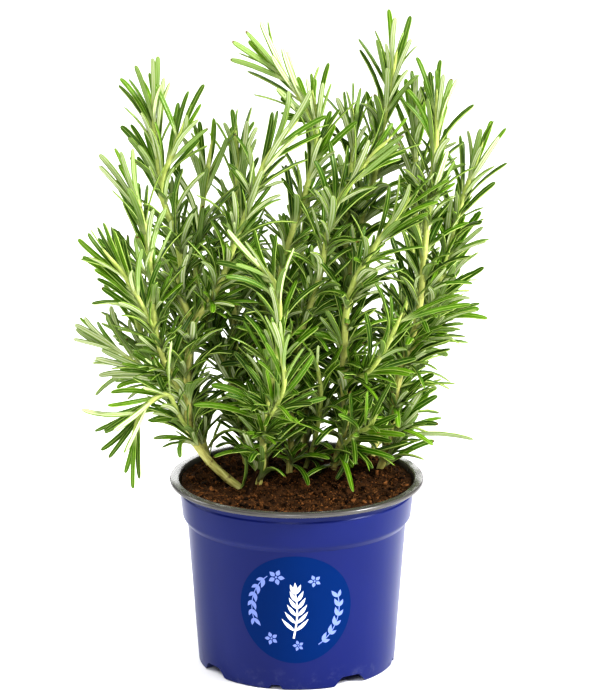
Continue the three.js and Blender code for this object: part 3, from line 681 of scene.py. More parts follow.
    def axil_tufts(self, shoot):
        """Short leafy tufts that stand between the larger leaves and their shoot."""
        line, random = shoot["line"], shoot["looks"]
        for leaf in list(shoot["leaves"]):
            if random() > TUFT_SHARE or line.length - leaf.s < TUFT_BELOW or leaf.youth == 1:
                continue
            point, along, _, _ = line.at(leaf.s)
            out = leaf.tip - leaf.root
            out = unit(out - along * (out @ along))
            lean = drawn(random, *TUFT_RANGES["lean"]) * DEG
            axis = along * math.cos(lean) + out * math.sin(lean)
            side = unit(np.cross(axis, out))
            start = point + out * shoot["radius"] * TUFT_FOOT
            grown = drawn(random, *TUFT_RANGES["grown"])
            for k in range(TUFT_LEAVES):
                pair = k // 2
                place = (start + axis * (1 + TUFT_STEP * pair) * grown, axis, side, np.cross(axis, side))
                spread = TUFT_SPREAD["first"] - TUFT_SPREAD["less"] * k + TUFT_SPREAD["range"] * random()
                turn = k * 180 * DEG + pair * QUARTER_TURN * DEG + 0.5 * random()
                curl = drawn(random, *TUFT_RANGES["curl"]) * DEG
                length = drawn(random, *TUFT_RANGES["length"]) * grown
                small = leaf_by_angles(leaf.s, place, turn, spread * DEG, curl, length)
                small.small = True
                small.youth = drawn(random, *TUFT_RANGES["youth"])
                small.width = drawn(random, *TUFT_RANGES["width"])
                self.first_clear(shoot, [small], **TIGHT)


# ---------------------------------------------------------------------------------------------
# meshes


class Tubes:
    """Closed tubes gathered into one mesh, each with cells of its own in the texture map."""

    def __init__(self):
        self.points, self.blade, self.tone = [], [], []
        self.corners, self.sizes, self.materials, self.cells, self.places = [], [], [], [], []
        self.count = self.cell_count = 0

    def add(self, points, blade, tone, material, cell_rings=1000):
        """Adds tubes of the same number of rings, given as [tube, ring, side] arrays."""
        tubes, rings, sides = points.shape[:3]
        index = self.count + np.arange(tubes * rings * sides).reshape(tubes, rings, sides)
        after = np.roll(index, -1, axis=2)
        quads = np.stack([index[:, :-1], after[:, :-1], after[:, 1:], index[:, 1:]], axis=-1)
        cell_rings = min(cell_rings, rings - 1)
        ring = np.arange(rings - 1)
        cell = (np.arange(tubes)[:, None] * math.ceil((rings - 1) / cell_rings) + ring // cell_rings)
        side, step = np.arange(sides), (ring % cell_rings)[:, None]
        across = np.stack([side, side + 1, side + 1, side], axis=-1) / sides
        place = np.zeros((tubes, rings - 1, sides, 4, 2))
        place[..., 0] = across
        place[..., 1] = np.stack([step, step, step + 1, step + 1], axis=-1) / cell_rings
        self.corners += [quads.ravel(), index[:, 0, ::-1].ravel(), index[:, -1].ravel()]
        self.sizes += [np.full(quads[..., 0].size, 4), np.full(2 * tubes, sides)]
        self.materials.append(np.full(quads[..., 0].size + 2 * tubes, material))
        ends = np.repeat(cell[:, [0, -1]].T.ravel(), sides)
        self.cells += [np.repeat(cell.ravel(), 4 * sides) + self.cell_count, ends + self.cell_count]
        flat = np.zeros((2, tubes, sides, 2))
        flat[..., 0] = side / sides
        flat[1, ..., 1] = 1
        self.places += [place.reshape(-1, 2), flat.reshape(-1, 2)]
        for store, values in ((self.points, points), (self.blade, blade), (self.tone, tone)):
            store.append(np.broadcast_to(values, points.shape).reshape(-1, 3))
        self.count += index.size
        self.cell_count += int(cell.max()) + 1

    def build(self, name, materials):
        sizes = np.concatenate(self.sizes)
        mesh = new_mesh(name, np.concatenate(self.points), np.concatenate(self.corners), sizes)
        mesh.polygons.foreach_set("material_index", np.concatenate(self.materials).astype(np.int32))
        add_layer(mesh, "blade", self.blade)
        add_layer(mesh, "tone", self.tone)
        grid = math.ceil(math.sqrt(self.cell_count))
        cells, places = np.concatenate(self.cells), np.concatenate(self.places)
        corner = np.stack([cells % grid, cells // grid], axis=1) + 0.06 + 0.88 * places
        layer = mesh.uv_layers.new(name="OFBake")
        layer.uv.foreach_set("vector", (corner / grid).astype(np.float32).ravel())
        return add_piece(name, mesh, materials)


def new_mesh(name, points, corners, sizes):
    """A mesh from points in millimetres, the corners of its faces in a row, and their numbers."""
    mesh = bpy.data.meshes.new(name)
    mesh.vertices.add(len(points))
    mesh.vertices.foreach_set("co", (np.asarray(points) * MM).astype(np.float32).ravel())
    mesh.loops.add(len(corners))
    mesh.loops.foreach_set("vertex_index", np.asarray(corners, np.int32))
    mesh.polygons.add(len(sizes))
    starts = np.concatenate([[0], np.cumsum(sizes)[:-1]])
    mesh.polygons.foreach_set("loop_start", starts.astype(np.int32))
    mesh.update(calc_edges=True)
    mesh.polygons.foreach_set("use_smooth", np.ones(len(sizes), bool))
    mesh.validate()
    return mesh


def add_layer(mesh, name, values):
    """Gives the points of a mesh three numbers each, for its material to read."""
    layer = mesh.attributes.new(name, "FLOAT_VECTOR", "POINT")
    layer.data.foreach_set("vector", np.concatenate(values).astype(np.float32).ravel())


def add_piece(name, mesh, materials):
    piece = bpy.data.objects.new(name, mesh)
    bpy.context.scene.collection.objects.link(piece)
    for material in materials:
        mesh.materials.append(material)
    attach(piece, "root")
    return piece


# Across and rise of a leaf's outline, in half widths: a grooved top with a sunken midrib, edges
# rolled under, and a raised midrib below. The last number is 1 on the top and 0 below.
OUTLINE = np.array([
    (-1.0, -0.12, 0.6), (-0.62, 0.2, 1), (-0.17, 0.17, 1), (0, 0.0, 1), (0.17, 0.17, 1), (0.62, 0.2, 1),
    (1.0, -0.12, 0.6), (0.84, -0.46, 0), (0.42, -0.22, 0), (0, -0.5, 0), (-0.42, -0.22, 0),
    (-0.84, -0.46, 0),
])
RING_PLACES = np.array([0, 0.07, 0.2, 0.38, 0.57, 0.76, 0.89, 0.955, 0.988, 1])
RING_WIDTHS = np.array([0.46, 0.54, 0.84, 1, 1, 0.97, 0.88, 0.7, 0.44, 0.14])
ALL_RINGS = np.arange(len(RING_PLACES))
SMALL_LEAF_RINGS = np.array([0, 2, 3, 5, 6, 8, 9])


def grow_blades(tubes, leaves, rings, random):
    """Curved, grooved blades for some leaves, each from its stem's surface to its tip."""
    places, widths = RING_PLACES[rings], RING_WIDTHS[rings]
    root, tip, up = (np.array([getattr(leaf, key) for leaf in leaves]) for key in ("root", "tip", "up"))
    radius = np.array([leaf.stem_radius for leaf in leaves])[:, None]
    chord = tip - root
    length = np.linalg.norm(chord, axis=1)[:, None]
    out = units(chord - up * (chord * up).sum(1)[:, None])
    root = root + out * radius * ROOT_IN_STEM
    bow = np.array([leaf.up * drawn(random.random, *BOW) * np.linalg.norm(leaf.tip - leaf.root)
                    if leaf.bow is None else leaf.bow for leaf in leaves])
    sway = units(np.cross(chord, up))
    bow = bow + sway * length * random.normal(0, SWAY, (len(leaves), 1))
    control = (root + tip) / 2 + 2 * bow
    v = places[None, :, None]
    line = root[:, None] * (1 - v)**2 + control[:, None] * 2 * v * (1 - v) + tip[:, None] * v**2
    ahead = units((control - root)[:, None] * (1 - v) + (tip - control)[:, None] * v)
    twist = random.normal(0, TWIST["whole"], (len(leaves), 1, 1))
    twist = twist + random.normal(0, TWIST["along"], (len(leaves), 1, 1)) * v
    twist = twist + np.array([leaf.twist for leaf in leaves])[:, None, None]
    side = units(np.cross(ahead, np.cross(sway[:, None], ahead)))
    above = np.cross(side, ahead)
    side, above = side * np.cos(twist) + above * np.sin(twist), above * np.cos(twist) - side * np.sin(twist)
    half = np.array([leaf.width for leaf in leaves])[:, None, None, None] * LEAF_WIDTH / 2
    half = half * widths[None, :, None, None]
    points = (line[:, :, None] + side[:, :, None] * OUTLINE[:, 0, None] * half
              + above[:, :, None] * OUTLINE[:, 1, None] * half)
    blade = np.zeros(points.shape)
    blade[..., 0] = OUTLINE[:, 0]
    blade[..., 1] = places[None, :, None]
    blade[..., 2] = OUTLINE[:, 2]
    tone = np.stack([random.random(len(leaves)), [leaf.youth for leaf in leaves],
                     random.random(len(leaves))], axis=1)
    tubes.add(points, blade, tone[:, None, None], 1)


def grow_stem(tubes, shoot, chance):
    """A shoot's round stem, a little swollen where leaves stand on it."""
    line = shoot["fine"]
    body = np.arange(0, line.length, RING_EVERY)
    past_end, end_shares = np.array(END_RINGS).T
    places = np.concatenate([body, line.length + past_end])
    from_tip = np.maximum(line.length - places, 0)
    share = np.minimum(places / line.length, 1) ** 1.4
    radius = lerp(shoot["radius"] * STEM_FINE, SHOOT_TIP_RADIUS, share)
    radius = radius * lerp(SHOOT_END["share"], 1, np.minimum(from_tip / SHOOT_END["length"], 1))
    node = np.exp(-(((line.length - 1 - places) % (PAIR_SPACING / 2)) / LEAF_NODE["length"]) ** 2)
    radius = radius * (1 + LEAF_NODE["swell"] * node)
    radius[-len(END_RINGS):] *= end_shares
    angle = np.arange(STEM_SIDES) * 2 * math.pi / STEM_SIDES
    points, blade, tone = np.zeros((3, 1, len(places), STEM_SIDES, 3))
    for i, s in enumerate(places):
        point, along, side, back = line.at(s)
        point = point + along * max(s - line.length, 0)
        points[0, i] = point + radius[i] * (np.outer(np.cos(angle), side) + np.outer(np.sin(angle), back))
    blade[0, :, :, 0] = angle / (2 * math.pi)
    blade[0, :, :, 1] = places[:, None] / BARK_MAP_LENGTH
    tone[0, :, :, 0] = chance
    tone[0, :, :, 1] = np.exp(-from_tip / YOUNG_BARK_LENGTH)[:, None]
    tone[0, :, :, 2] = node[:, None]
    tubes.add(points, blade, tone, 0, cell_rings=24)


def leaf_looks(shoot, random):
    """How young and how wide each leaf of a shoot is, and how thick its stem is at the root."""
    line = shoot["line"]
    for leaf in shoot["leaves"]:
        from_tip = line.length - leaf.s
        if leaf.youth == 0:
            leaf.youth = min(1, 0.75 * math.exp(-from_tip / YOUTH_LENGTH) + 0.25 * random.random())
            leaf.width = 0.74 + 0.3 * random.random() + 0.34 * min(1, from_tip / WIDENING_LENGTH)
            leaf.stem_radius = lerp(shoot["radius"], STEM_TIP_RADIUS, leaf.s / line.length)


def make_plant(bark, blade):
    random = np.random.default_rng(BLADE_SEED)
    plant = Plant()
    for index, name in enumerate(STEMS):
        tubes = Tubes()
        shoots = [shoot for shoot in plant.shoots if shoot["stem"] == index]
        for shoot in shoots:
            leaf_looks(shoot, random)
            grow_stem(tubes, shoot, random.random())
        leaves = [leaf for shoot in shoots for leaf in shoot["leaves"]]
        grow_blades(tubes, [leaf for leaf in leaves if not leaf.small], ALL_RINGS, random)
        grow_blades(tubes, [leaf for leaf in leaves if leaf.small], SMALL_LEAF_RINGS, random)
        piece = tubes.build(name.replace("stem", "rosemary"), [bark, blade])
        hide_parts(name)


# ---------------------------------------------------------------------------------------------
# pot


def rounded(profile, radius, sharp, sharp_radius, steps=4):
    """A closed [radius, height] profile with each corner off the axis rounded, the sharp ones less."""
    corners = np.array(profile, float)
    points = [corners[0]]
    for before, corner, after in zip(corners, corners[1:], corners[2:]):
        radius_here = sharp_radius if tuple(corner) in sharp else radius
        start = corner + unit(before - corner) * min(radius_here, 0.42 * np.linalg.norm(before - corner))
        end = corner + unit(after - corner) * min(radius_here, 0.42 * np.linalg.norm(after - corner))
        for t in np.linspace(0, 1, steps + 1):
            points.append(start * (1 - t)**2 + corner * 2 * t * (1 - t) + end * t**2)
    return np.array([*points, corners[-1]])


def turned(name, profile, segments):
    """A mesh turned about +Z from a profile that starts and ends on the axis."""
    angle = np.arange(segments) * 2 * math.pi / segments
    inner = profile[1:-1]
    points = np.stack([inner[:, :1] * np.cos(angle), inner[:, :1] * np.sin(angle),
                       np.repeat(inner[:, 1:], segments, axis=1)], axis=-1).reshape(-1, 3)
    first, last = len(points), len(points) + 1
    points = np.vstack([points, [0, 0, profile[0][1]], [0, 0, profile[-1][1]]])
    index = np.arange(len(inner) * segments).reshape(len(inner), segments)
    after = np.roll(index, -1, axis=1)
    quads = np.stack([index[:-1], after[:-1], after[1:], index[1:]], axis=-1)
    low = np.stack([after[0], index[0], np.full(segments, first)], axis=-1)
    high = np.stack([index[-1], after[-1], np.full(segments, last)], axis=-1)
    corners = np.concatenate([quads.ravel(), low.ravel(), high.ravel()])
    sizes = np.concatenate([np.full(quads[..., 0].size, 4), np.full(2 * segments, 3)])
    return new_mesh(name, points, corners, sizes)


def wall_line(inset):
    """The outer wall of the pot, from the base up to the collar, moved in by inset."""
    return [(BODY_TOP_RADIUS - inset, BODY_TOP + inset),
            (COLLAR_BOTTOM_RADIUS - inset, COLLAR_BOTTOM + inset),
            (COLLAR_TOP_RADIUS - inset, COLLAR_TOP + inset)]


def notch_cutter(name, height, top, bottom, turn):
    """A block that cuts one arched notch, with soft shoulders, through the outer ring of the foot."""
    share = np.linspace(0, 1, 9)
    rise = height * (3 * share**2 - 2 * share**3)
    half = lerp(bottom / 2, top / 2, share)
    outline = np.concatenate([[(-bottom / 2, -1), (bottom / 2, -1)], np.stack([half, rise], axis=1),
                              np.stack([-half, rise], axis=1)[::-1]])
    count = len(outline)
    near, far = RING_OUTER, BASE_RADIUS + 4
    points = [(u, -depth, h) for depth in (near, far) for u, h in outline]
    sides = [(k, (k + 1) % count, (k + 1) % count + count, k + count) for k in range(count)]
    mesh = bpy.data.meshes.new(name)
    mesh.from_pydata([tuple(MM * c for c in p) for p in points], [],
                     [*sides, tuple(reversed(range(count))), tuple(range(count, 2 * count))])
    cutter = bpy.data.objects.new(name, mesh)
    cutter.rotation_euler.z = turn * DEG
    return cutter


def drain_cutter(name, turn):
    """A rod that cuts one drain hole through the floor."""
    top = 2 * FLOOR_TOP
    profile = np.array([(0, -1), (DRAIN_HOLE_RADIUS, -1), (DRAIN_HOLE_RADIUS, top), (0, top)])
    cutter = bpy.data.objects.new(name, turned(name, profile, 32))
    middle = (RING_INNER + RING_OUTER) / 2 * MM
    cutter.location = (middle * math.sin(turn * DEG), -middle * math.cos(turn * DEG), 0)
    return cutter


def cut_away(piece, cutters):
    """Cuts the cutters out of a piece, and removes them."""
    tools = bpy.data.collections.new("cutters")
    bpy.context.scene.collection.children.link(tools)
    for cutter in cutters:
        tools.objects.link(cutter)
    cut = piece.modifiers.new("cut", "BOOLEAN")
    cut.operand_type = "COLLECTION"
    cut.collection = tools
    cut.solver = "EXACT"
    shown = piece.evaluated_get(bpy.context.evaluated_depsgraph_get())
    mesh = bpy.data.meshes.new_from_object(shown)
    piece.modifiers.clear()
    piece.data = mesh
    for cutter in cutters:
        bpy.data.objects.remove(cutter)
    bpy.data.collections.remove(tools)


def make_pot(blue, grey):
    inner = RIM_RADIUS - RIM_WIDTH
    low_wall = (lerp(BASE_RADIUS, BODY_TOP_RADIUS, ABOVE_NOTCHES / BODY_TOP), ABOVE_NOTCHES)
    outside = [(0, 0), (MIDDLE_RADIUS, 0), (RING_INNER, RING_HEIGHT), (RING_OUTER, RING_HEIGHT),
               (FEET_INNER, 0), (BASE_RADIUS, 0), low_wall, *wall_line(0), *NECK,
               (inner + WALL, POT_HEIGHT - RIM_THICK["inner"]),
               (RIM_RADIUS, POT_HEIGHT - RIM_THICK["outer"]), (RIM_RADIUS, POT_HEIGHT)]
    inside = [(inner, POT_HEIGHT), *reversed(wall_line(WALL)), (BASE_RADIUS - WALL, FLOOR_TOP),
              (0, FLOOR_TOP)]
    sharp = [wall_line(0)[0], wall_line(0)[2], *NECK]
    profile = rounded([*outside, *inside], ROUNDING, sharp, SHARP_ROUNDING)
    pot = add_piece("herb_pot", turned("herb_pot", profile, POT_SEGMENTS), [blue, grey])
    cutters = []
    for i in range(NOTCHES):
        more = i * 360 / NOTCHES
        for label, notch in (("wide", WIDE_NOTCH), ("small", SMALL_NOTCH)):
            turn = notch["turn"] + more
            cutters.append(notch_cutter(f"{label}_{i}", **{**notch, "turn": turn}))
        cutters.append(drain_cutter(f"drain_{i}", WIDE_NOTCH["turn"] + more))
    cut_away(pot, cutters)
    wall = np.array([(BASE_RADIUS, 0), *wall_line(0), *NECK, (inner + WALL, POT_HEIGHT)])
    for face in pot.data.polygons:
        x, y, z = face.center / MM
        inner_wall = np.interp(z, wall[:, 1], wall[:, 0]) - WALL / 3
        is_inside = z > FLOOR_TOP - 0.1 and math.hypot(x, y) < inner_wall
        face.material_index = int(is_inside or z > POT_HEIGHT - RIM_GREY)
    pot.data.set_sharp_from_angle(angle=SHARP_ANGLE * DEG)
    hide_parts("pot")


def on_wall(u, h, lift):
    """A point of the front wall, u along it and h up from the disc's centre."""
    u, h = DISC_CENTRE[0] + u, DISC_CENTRE[1] + h
    radius = lerp(BASE_RADIUS, BODY_TOP_RADIUS, h / BODY_TOP) + lift
    angle = u / lerp(BASE_RADIUS, BODY_TOP_RADIUS, DISC_CENTRE[1] / BODY_TOP)
    return radius * math.sin(angle), -radius * math.cos(angle), h


class Print:
    """Flat printed shapes on the front wall, drawn in millimetres about the disc's centre."""

    def __init__(self, lift):
        self.lift, self.points, self.faces = lift, [], []

    def strip(self, spine, widths):
        """A shape along a spine, with its half width at each point."""
        spine = np.array(spine, float)
        base = len(self.points)
        for (u, h), (du, dh), half in zip(spine, units(np.gradient(spine, axis=0)), widths):
            for side in (-half, half):
                self.points.append(on_wall(u - dh * side, h + du * side, self.lift))
        self.faces += [(base + 2 * k, base + 2 * k + 2, base + 2 * k + 3, base + 2 * k + 1)
                       for k in range(len(spine) - 1)]

    def leaf(self, start, angle, length, width, bend=0.0):
        """A pointed leaf from its start, at an angle in degrees, curving by bend degrees."""
        share = np.linspace(0, 1, 15)
        turn = (angle + bend * share) * DEG
        step = length / (len(share) - 1)
        u = start[0] + np.concatenate([[0], np.cumsum(np.cos(turn[:-1]) * step)])
        h = start[1] + np.concatenate([[0], np.cumsum(np.sin(turn[:-1]) * step)])
        widths = np.maximum(0.5 * width * np.sin(math.pi * share**0.85), 0.02)
        self.strip(np.stack([u, h], axis=1), widths)

    def disc(self, centre, radius, rings=10, sides=72):
        """A round shape, in rings of faces so that it follows the wall."""
        for ring in range(rings):
            base = len(self.points)
            for k in range(sides + 1):
                a = 2 * math.pi * k / sides
                for r in (radius * ring / rings, radius * (ring + 1) / rings):
                    u, h = centre[0] + r * math.cos(a), centre[1] + r * math.sin(a)
                    self.points.append(on_wall(u, h, self.lift))
            self.faces += [(base + 2 * k, base + 2 * k + 1, base + 2 * k + 3, base + 2 * k + 2)
                           for k in range(sides)]

    def build(self, name, material):
        mesh = bpy.data.meshes.new(name)
        mesh.from_pydata([tuple(MM * c for c in p) for p in self.points], [], self.faces)
        merge_close(mesh, 0.002 * MM)
        piece = add_piece(name, mesh, [material])


def merge_close(mesh, distance):
    """Joins the points of a mesh that lie on each other, and smooths it."""
    work = bmesh.new()
    work.from_mesh(mesh)
    bmesh.ops.remove_doubles(work, verts=work.verts, dist=distance)
    for face in work.faces:
        face.smooth = True
    work.to_mesh(mesh)
    work.free()


def make_print(deep, pale, white):
    """A generic herb design: a white sprig in the middle, and pale leaves and flowers about it."""
    ground = Print(PRINT_LIFT["ground"])
    ground.disc((0, 0), DISC_RADIUS)
    ground.build("print_ground", deep)

    sprig = Print(PRINT_LIFT["sprig"])
    stalk = [(1.8 * math.sin(2.6 * t) - 0.9, -15.5 + 24 * t) for t in np.linspace(0, 1, SPRIG_POINTS)]
    sprig.strip(stalk, np.linspace(0.55, 0.35, SPRIG_POINTS))
    for k in range(SPRIG_PAIRS):
        u, h = stalk[4 + 4 * k]
        for side in (1, -1):
            sprig.leaf((u, h), 90 - side * (54 - 4 * k), 9.6 - 0.7 * k, 1.9, side * 18)
    sprig.leaf(stalk[-1], 92, 6.5, 1.9)
    sprig.build("print_sprig", white)

    border = Print(PRINT_LIFT["border"])
    for start, end in BORDER_ARCS:
        arc = np.linspace(start, end, BORDER_POINTS) * DEG
        spine = BORDER_RADIUS * np.stack([np.cos(arc), np.sin(arc)], axis=1)
        border.strip(spine, np.full(BORDER_POINTS, 0.26))
        for a in arc[2::4]:
            root = (BORDER_RADIUS * math.cos(a), BORDER_RADIUS * math.sin(a))
            ahead = math.degrees(a) + 90
            border.leaf(root, ahead + 38, 5.4, 2.1, -20)
            border.leaf(root, ahead - 38, 4.2, 1.9, 20)
    for u, h, size in FLOWERS:
        for k in range(PETALS):
            angle = 90 + 360 / PETALS * k + 10 * u
            start = (u + 0.9 * size * math.cos(angle * DEG), h + 0.9 * size * math.sin(angle * DEG))
            border.leaf(start, angle, 3.4 * size, 2.3 * size)
        border.disc((u, h), 0.62 * size, rings=1, sides=16)
    border.build("print_border", pale)


# ---------------------------------------------------------------------------------------------
# soil


ROOTS = np.array([route[0][:2] for (_, _, route, _), *_ in STEMS.values()])


def soil_height(x, y):
    """The loose surface of the soil, higher at the wall and round the stems, with lumps and grains."""
    edge = min(math.hypot(x, y) / (COLLAR_TOP_RADIUS - WALL), 1)
    lumps = math.sin(0.21 * x + 1.3) * math.cos(0.17 * y - 0.6) + 0.5 * math.sin(0.4 * x - 0.33 * y)
    grains = sum(height * noise.noise((fine * x, fine * y, layer)) for height, fine, layer in SOIL_GRAINS)
    mound = MOUND["height"] * math.exp(-((ROOTS - (x, y)) ** 2).sum(1).min() / MOUND["radius"] ** 2)
    return (SOIL_TOP + SOIL_HEAP + SOIL_EDGE_RISE * edge**6 + SOIL_LUMP * lumps * (1 - edge**6)
            + grains * (1 - 0.6 * edge**8) + mound)


def make_soil(peat):
    """The soil: a solid that fills the pot, with its top points moved to the loose surface."""
    bottom, top = FLOOR_TOP + GAP, POT_HEIGHT
    profile = [(0, bottom), (BASE_RADIUS - WALL - GAP, bottom), *wall_line(WALL + GAP), SOIL_EDGE]
    profile += [(SOIL_EDGE[0] * share, top) for share in np.linspace(0.997, 0.012, SOIL_RINGS)]
    mesh = turned("potting_soil", np.array([*profile, (0, top)]), SOIL_SEGMENTS)
    for vertex in mesh.vertices:
        if vertex.co.z > (top - 1) * MM:
            vertex.co.z = soil_height(vertex.co.x / MM, vertex.co.y / MM) * MM
    mesh.update()
    soil = add_piece("potting_soil", mesh, [peat])
    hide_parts("soil")


def soil_spot(random, reach):
    """A random place on the soil, as its point."""
    radius, angle = reach * math.sqrt(random.random()), 2 * math.pi * random.random()
    x, y = radius * math.cos(angle), radius * math.sin(angle)
    return np.array([x, y, soil_height(x, y)])


def peat_lumps(random, count, sizes, subdivisions):
    """Lumps of peat on the soil: their points, the corners of their triangles, and a tone each."""
    ball = bmesh.new()
    bmesh.ops.create_icosphere(ball, subdivisions=subdivisions, radius=1)
    shape = np.array([vertex.co[:] for vertex in ball.verts])
    faces = np.array([[vertex.index for vertex in face.verts] for face in ball.faces])
    ball.free()
    points, tone = [], []
    for _ in range(count):
        size = lerp(*sizes, random.random() ** 2.5)
        spin = np.linalg.qr(random.normal(size=(3, 3)))[0]
        if np.linalg.det(spin) < 0:
            spin[0] = -spin[0]
        lump = shape * (1 + 0.2 * random.normal(size=(len(shape), 1))) * (1.3, 0.9, 0.6)
        points.append(lump @ spin * size + soil_spot(random, CRUMB_REACH) + (0, 0, 0.2 * size))
        tone.append(np.full((len(shape), 3), random.random(3)))
    corners = faces[None] + np.arange(count)[:, None, None] * len(shape)
    return np.concatenate(points), corners.ravel(), np.concatenate(tone)


def make_crumbs(crumb):
    """Loose crumbs of peat and bark on the soil."""
    random = np.random.default_rng(CRUMB_SEED)
    points, corners, tone = peat_lumps(random, **BIG_CRUMBS)
    more_points, more_corners, more_tone = peat_lumps(random, **SMALL_CRUMBS)
    corners = np.concatenate([corners, more_corners + len(points)])
    points = np.concatenate([points, more_points])
    mesh = new_mesh("soil_crumbs", points, corners, np.full(len(corners) // 3, 3))
    add_layer(mesh, "tone", [tone, more_tone])
    add_piece("soil_crumbs", mesh, [crumb])


def tube_along(path, radius, sides=6):
    """The rings of a round tube along a path, as one [tube, ring, side] array."""
    ahead = units(np.gradient(path, axis=0))
    side = units(np.cross(ahead, (0.3, 0.2, 0.93)))
    back = np.cross(ahead, side)
    angle = np.arange(sides) * 2 * math.pi / sides
    ring = side[:, None] * np.cos(angle)[:, None] + back[:, None] * np.sin(angle)[:, None]
    return (path[:, None] + ring * np.asarray(radius)[:, None, None])[None]


def make_fibres(fibre):
    """Root and peat fibres on the soil, and a dead twig."""
    random = np.random.default_rng(FIBRE_SEED)
    tubes = Tubes()
    for _ in range(FIBRES):
        x, y, _ = soil_spot(random, FIBRE_REACH)
        way, turn = 2 * math.pi * random.random(), random.normal(0, 0.35)
        step, radius = 0.5 + 0.8 * random.random(), 0.08 + 0.12 * random.random()
        path = []
        for k in range(FIBRE_POINTS):
            lift = 0.25 + 0.9 * random.random() * math.sin(math.pi * k / (FIBRE_POINTS - 1))
            path.append((x, y, soil_height(x, y) + lift))
            x, y = x + step * math.cos(way), y + step * math.sin(way)
            way = way + turn + random.normal(0, 0.25)
            if math.hypot(x, y) > FIBRE_TURNS_AT:
                way += math.pi
        fibre_tube = tube_along(np.array(path), np.full(FIBRE_POINTS, radius))
        tubes.add(fibre_tube, np.zeros(3), random.random(3), 0)
    tubes.add(tube_along(np.array(TWIG), TWIG_RADII, 9), np.zeros(3), (0.05, 0, 0), 0)
    tubes.build("soil_fibres", [fibre])


# ---------------------------------------------------------------------------------------------
# materials


class Nodes:
    """A short way to write a material's nodes."""

    def __init__(self, name):
        self.material = bpy.data.materials.new(name)
        self.material.use_nodes = True
        self.tree = self.material.node_tree
        self.shader = self.tree.nodes["Principled BSDF"]

    def add(self, kind, inputs=(), **settings):
        node = self.tree.nodes.new(f"ShaderNode{kind}")
        for key, value in settings.items():
            setattr(node, key, value)
        for key, value in dict(inputs).items():
            self.feed(node.inputs[key], value)
        return node

    def feed(self, socket, value):
        if isinstance(value, bpy.types.NodeSocket):
            self.tree.links.new(value, socket)
        elif hasattr(socket.default_value, "__len__") and len(socket.default_value) == 4:
            socket.default_value = (*value, 1)
        else:
            socket.default_value = value

    def math(self, operation, *values):
        return self.add("Math", enumerate(values), operation=operation).outputs[0]

    def attribute(self, name):
        split = self.add("SeparateXYZ", {0: self.add("Attribute", attribute_name=name).outputs["Vector"]})
        return [split.outputs[k] for k in range(3)]

    def place(self):
        return self.add("TexCoord").outputs["Object"]

    def noise(self, scale, detail=3, rough=0.5, vector=None):
        """Noise from 0 to 1, with scale in grains per metre."""
        vector = self.place() if vector is None else vector
        return self.add("TexNoise", {"Vector": vector, "Scale": scale, "Detail": detail,
                                     "Roughness": rough}).outputs["Fac"]

    def step(self, value, low, high):
        """A smooth rise from 0 at low to 1 at high."""
        node = self.add("MapRange", {0: value, 1: low, 2: high}, interpolation_type="SMOOTHSTEP")
        return node.outputs[0]

    def mix(self, share, start, end):
        node = self.add("Mix", data_type="RGBA")
        self.feed(node.inputs[0], share)
        self.feed(node.inputs[6], start)
        self.feed(node.inputs[7], end)
        return node.outputs[2]

    def over(self, colour, shown, most, tint):
        """A colour with a tint laid over it, which covers at most a share of it."""
        return self.mix(self.math("MULTIPLY", shown, most), colour, tint)

    def blend(self, share, start, end):
        """A number between start and end."""
        return self.add("MapRange", {0: share, 3: start, 4: end}).outputs[0]

    def ramp(self, value, *stops):
        node = self.add("ValToRGB", {0: value})
        ramp = node.color_ramp
        while len(ramp.elements) < len(stops):
            ramp.elements.new(0.5)
        for element, (place, colour) in zip(ramp.elements, stops):
            element.position, element.color = place, (*colour, 1)
        return node.outputs[0]

    def finish(self, colour, roughness, bump=None, strength=0.3, depth=0.1, **constants):
        """Sets the shader: bump depth is in millimetres."""
        self.feed(self.shader.inputs["Base Color"], colour)
        self.feed(self.shader.inputs["Roughness"], roughness)
        if bump:
            node = self.add("Bump", {"Height": bump, "Strength": strength, "Distance": depth * MM})
            self.feed(self.shader.inputs["Normal"], node.outputs[0])
        for key, value in constants.items():
            self.feed(self.shader.inputs[key.replace("_", " ")], value)
        return self.material


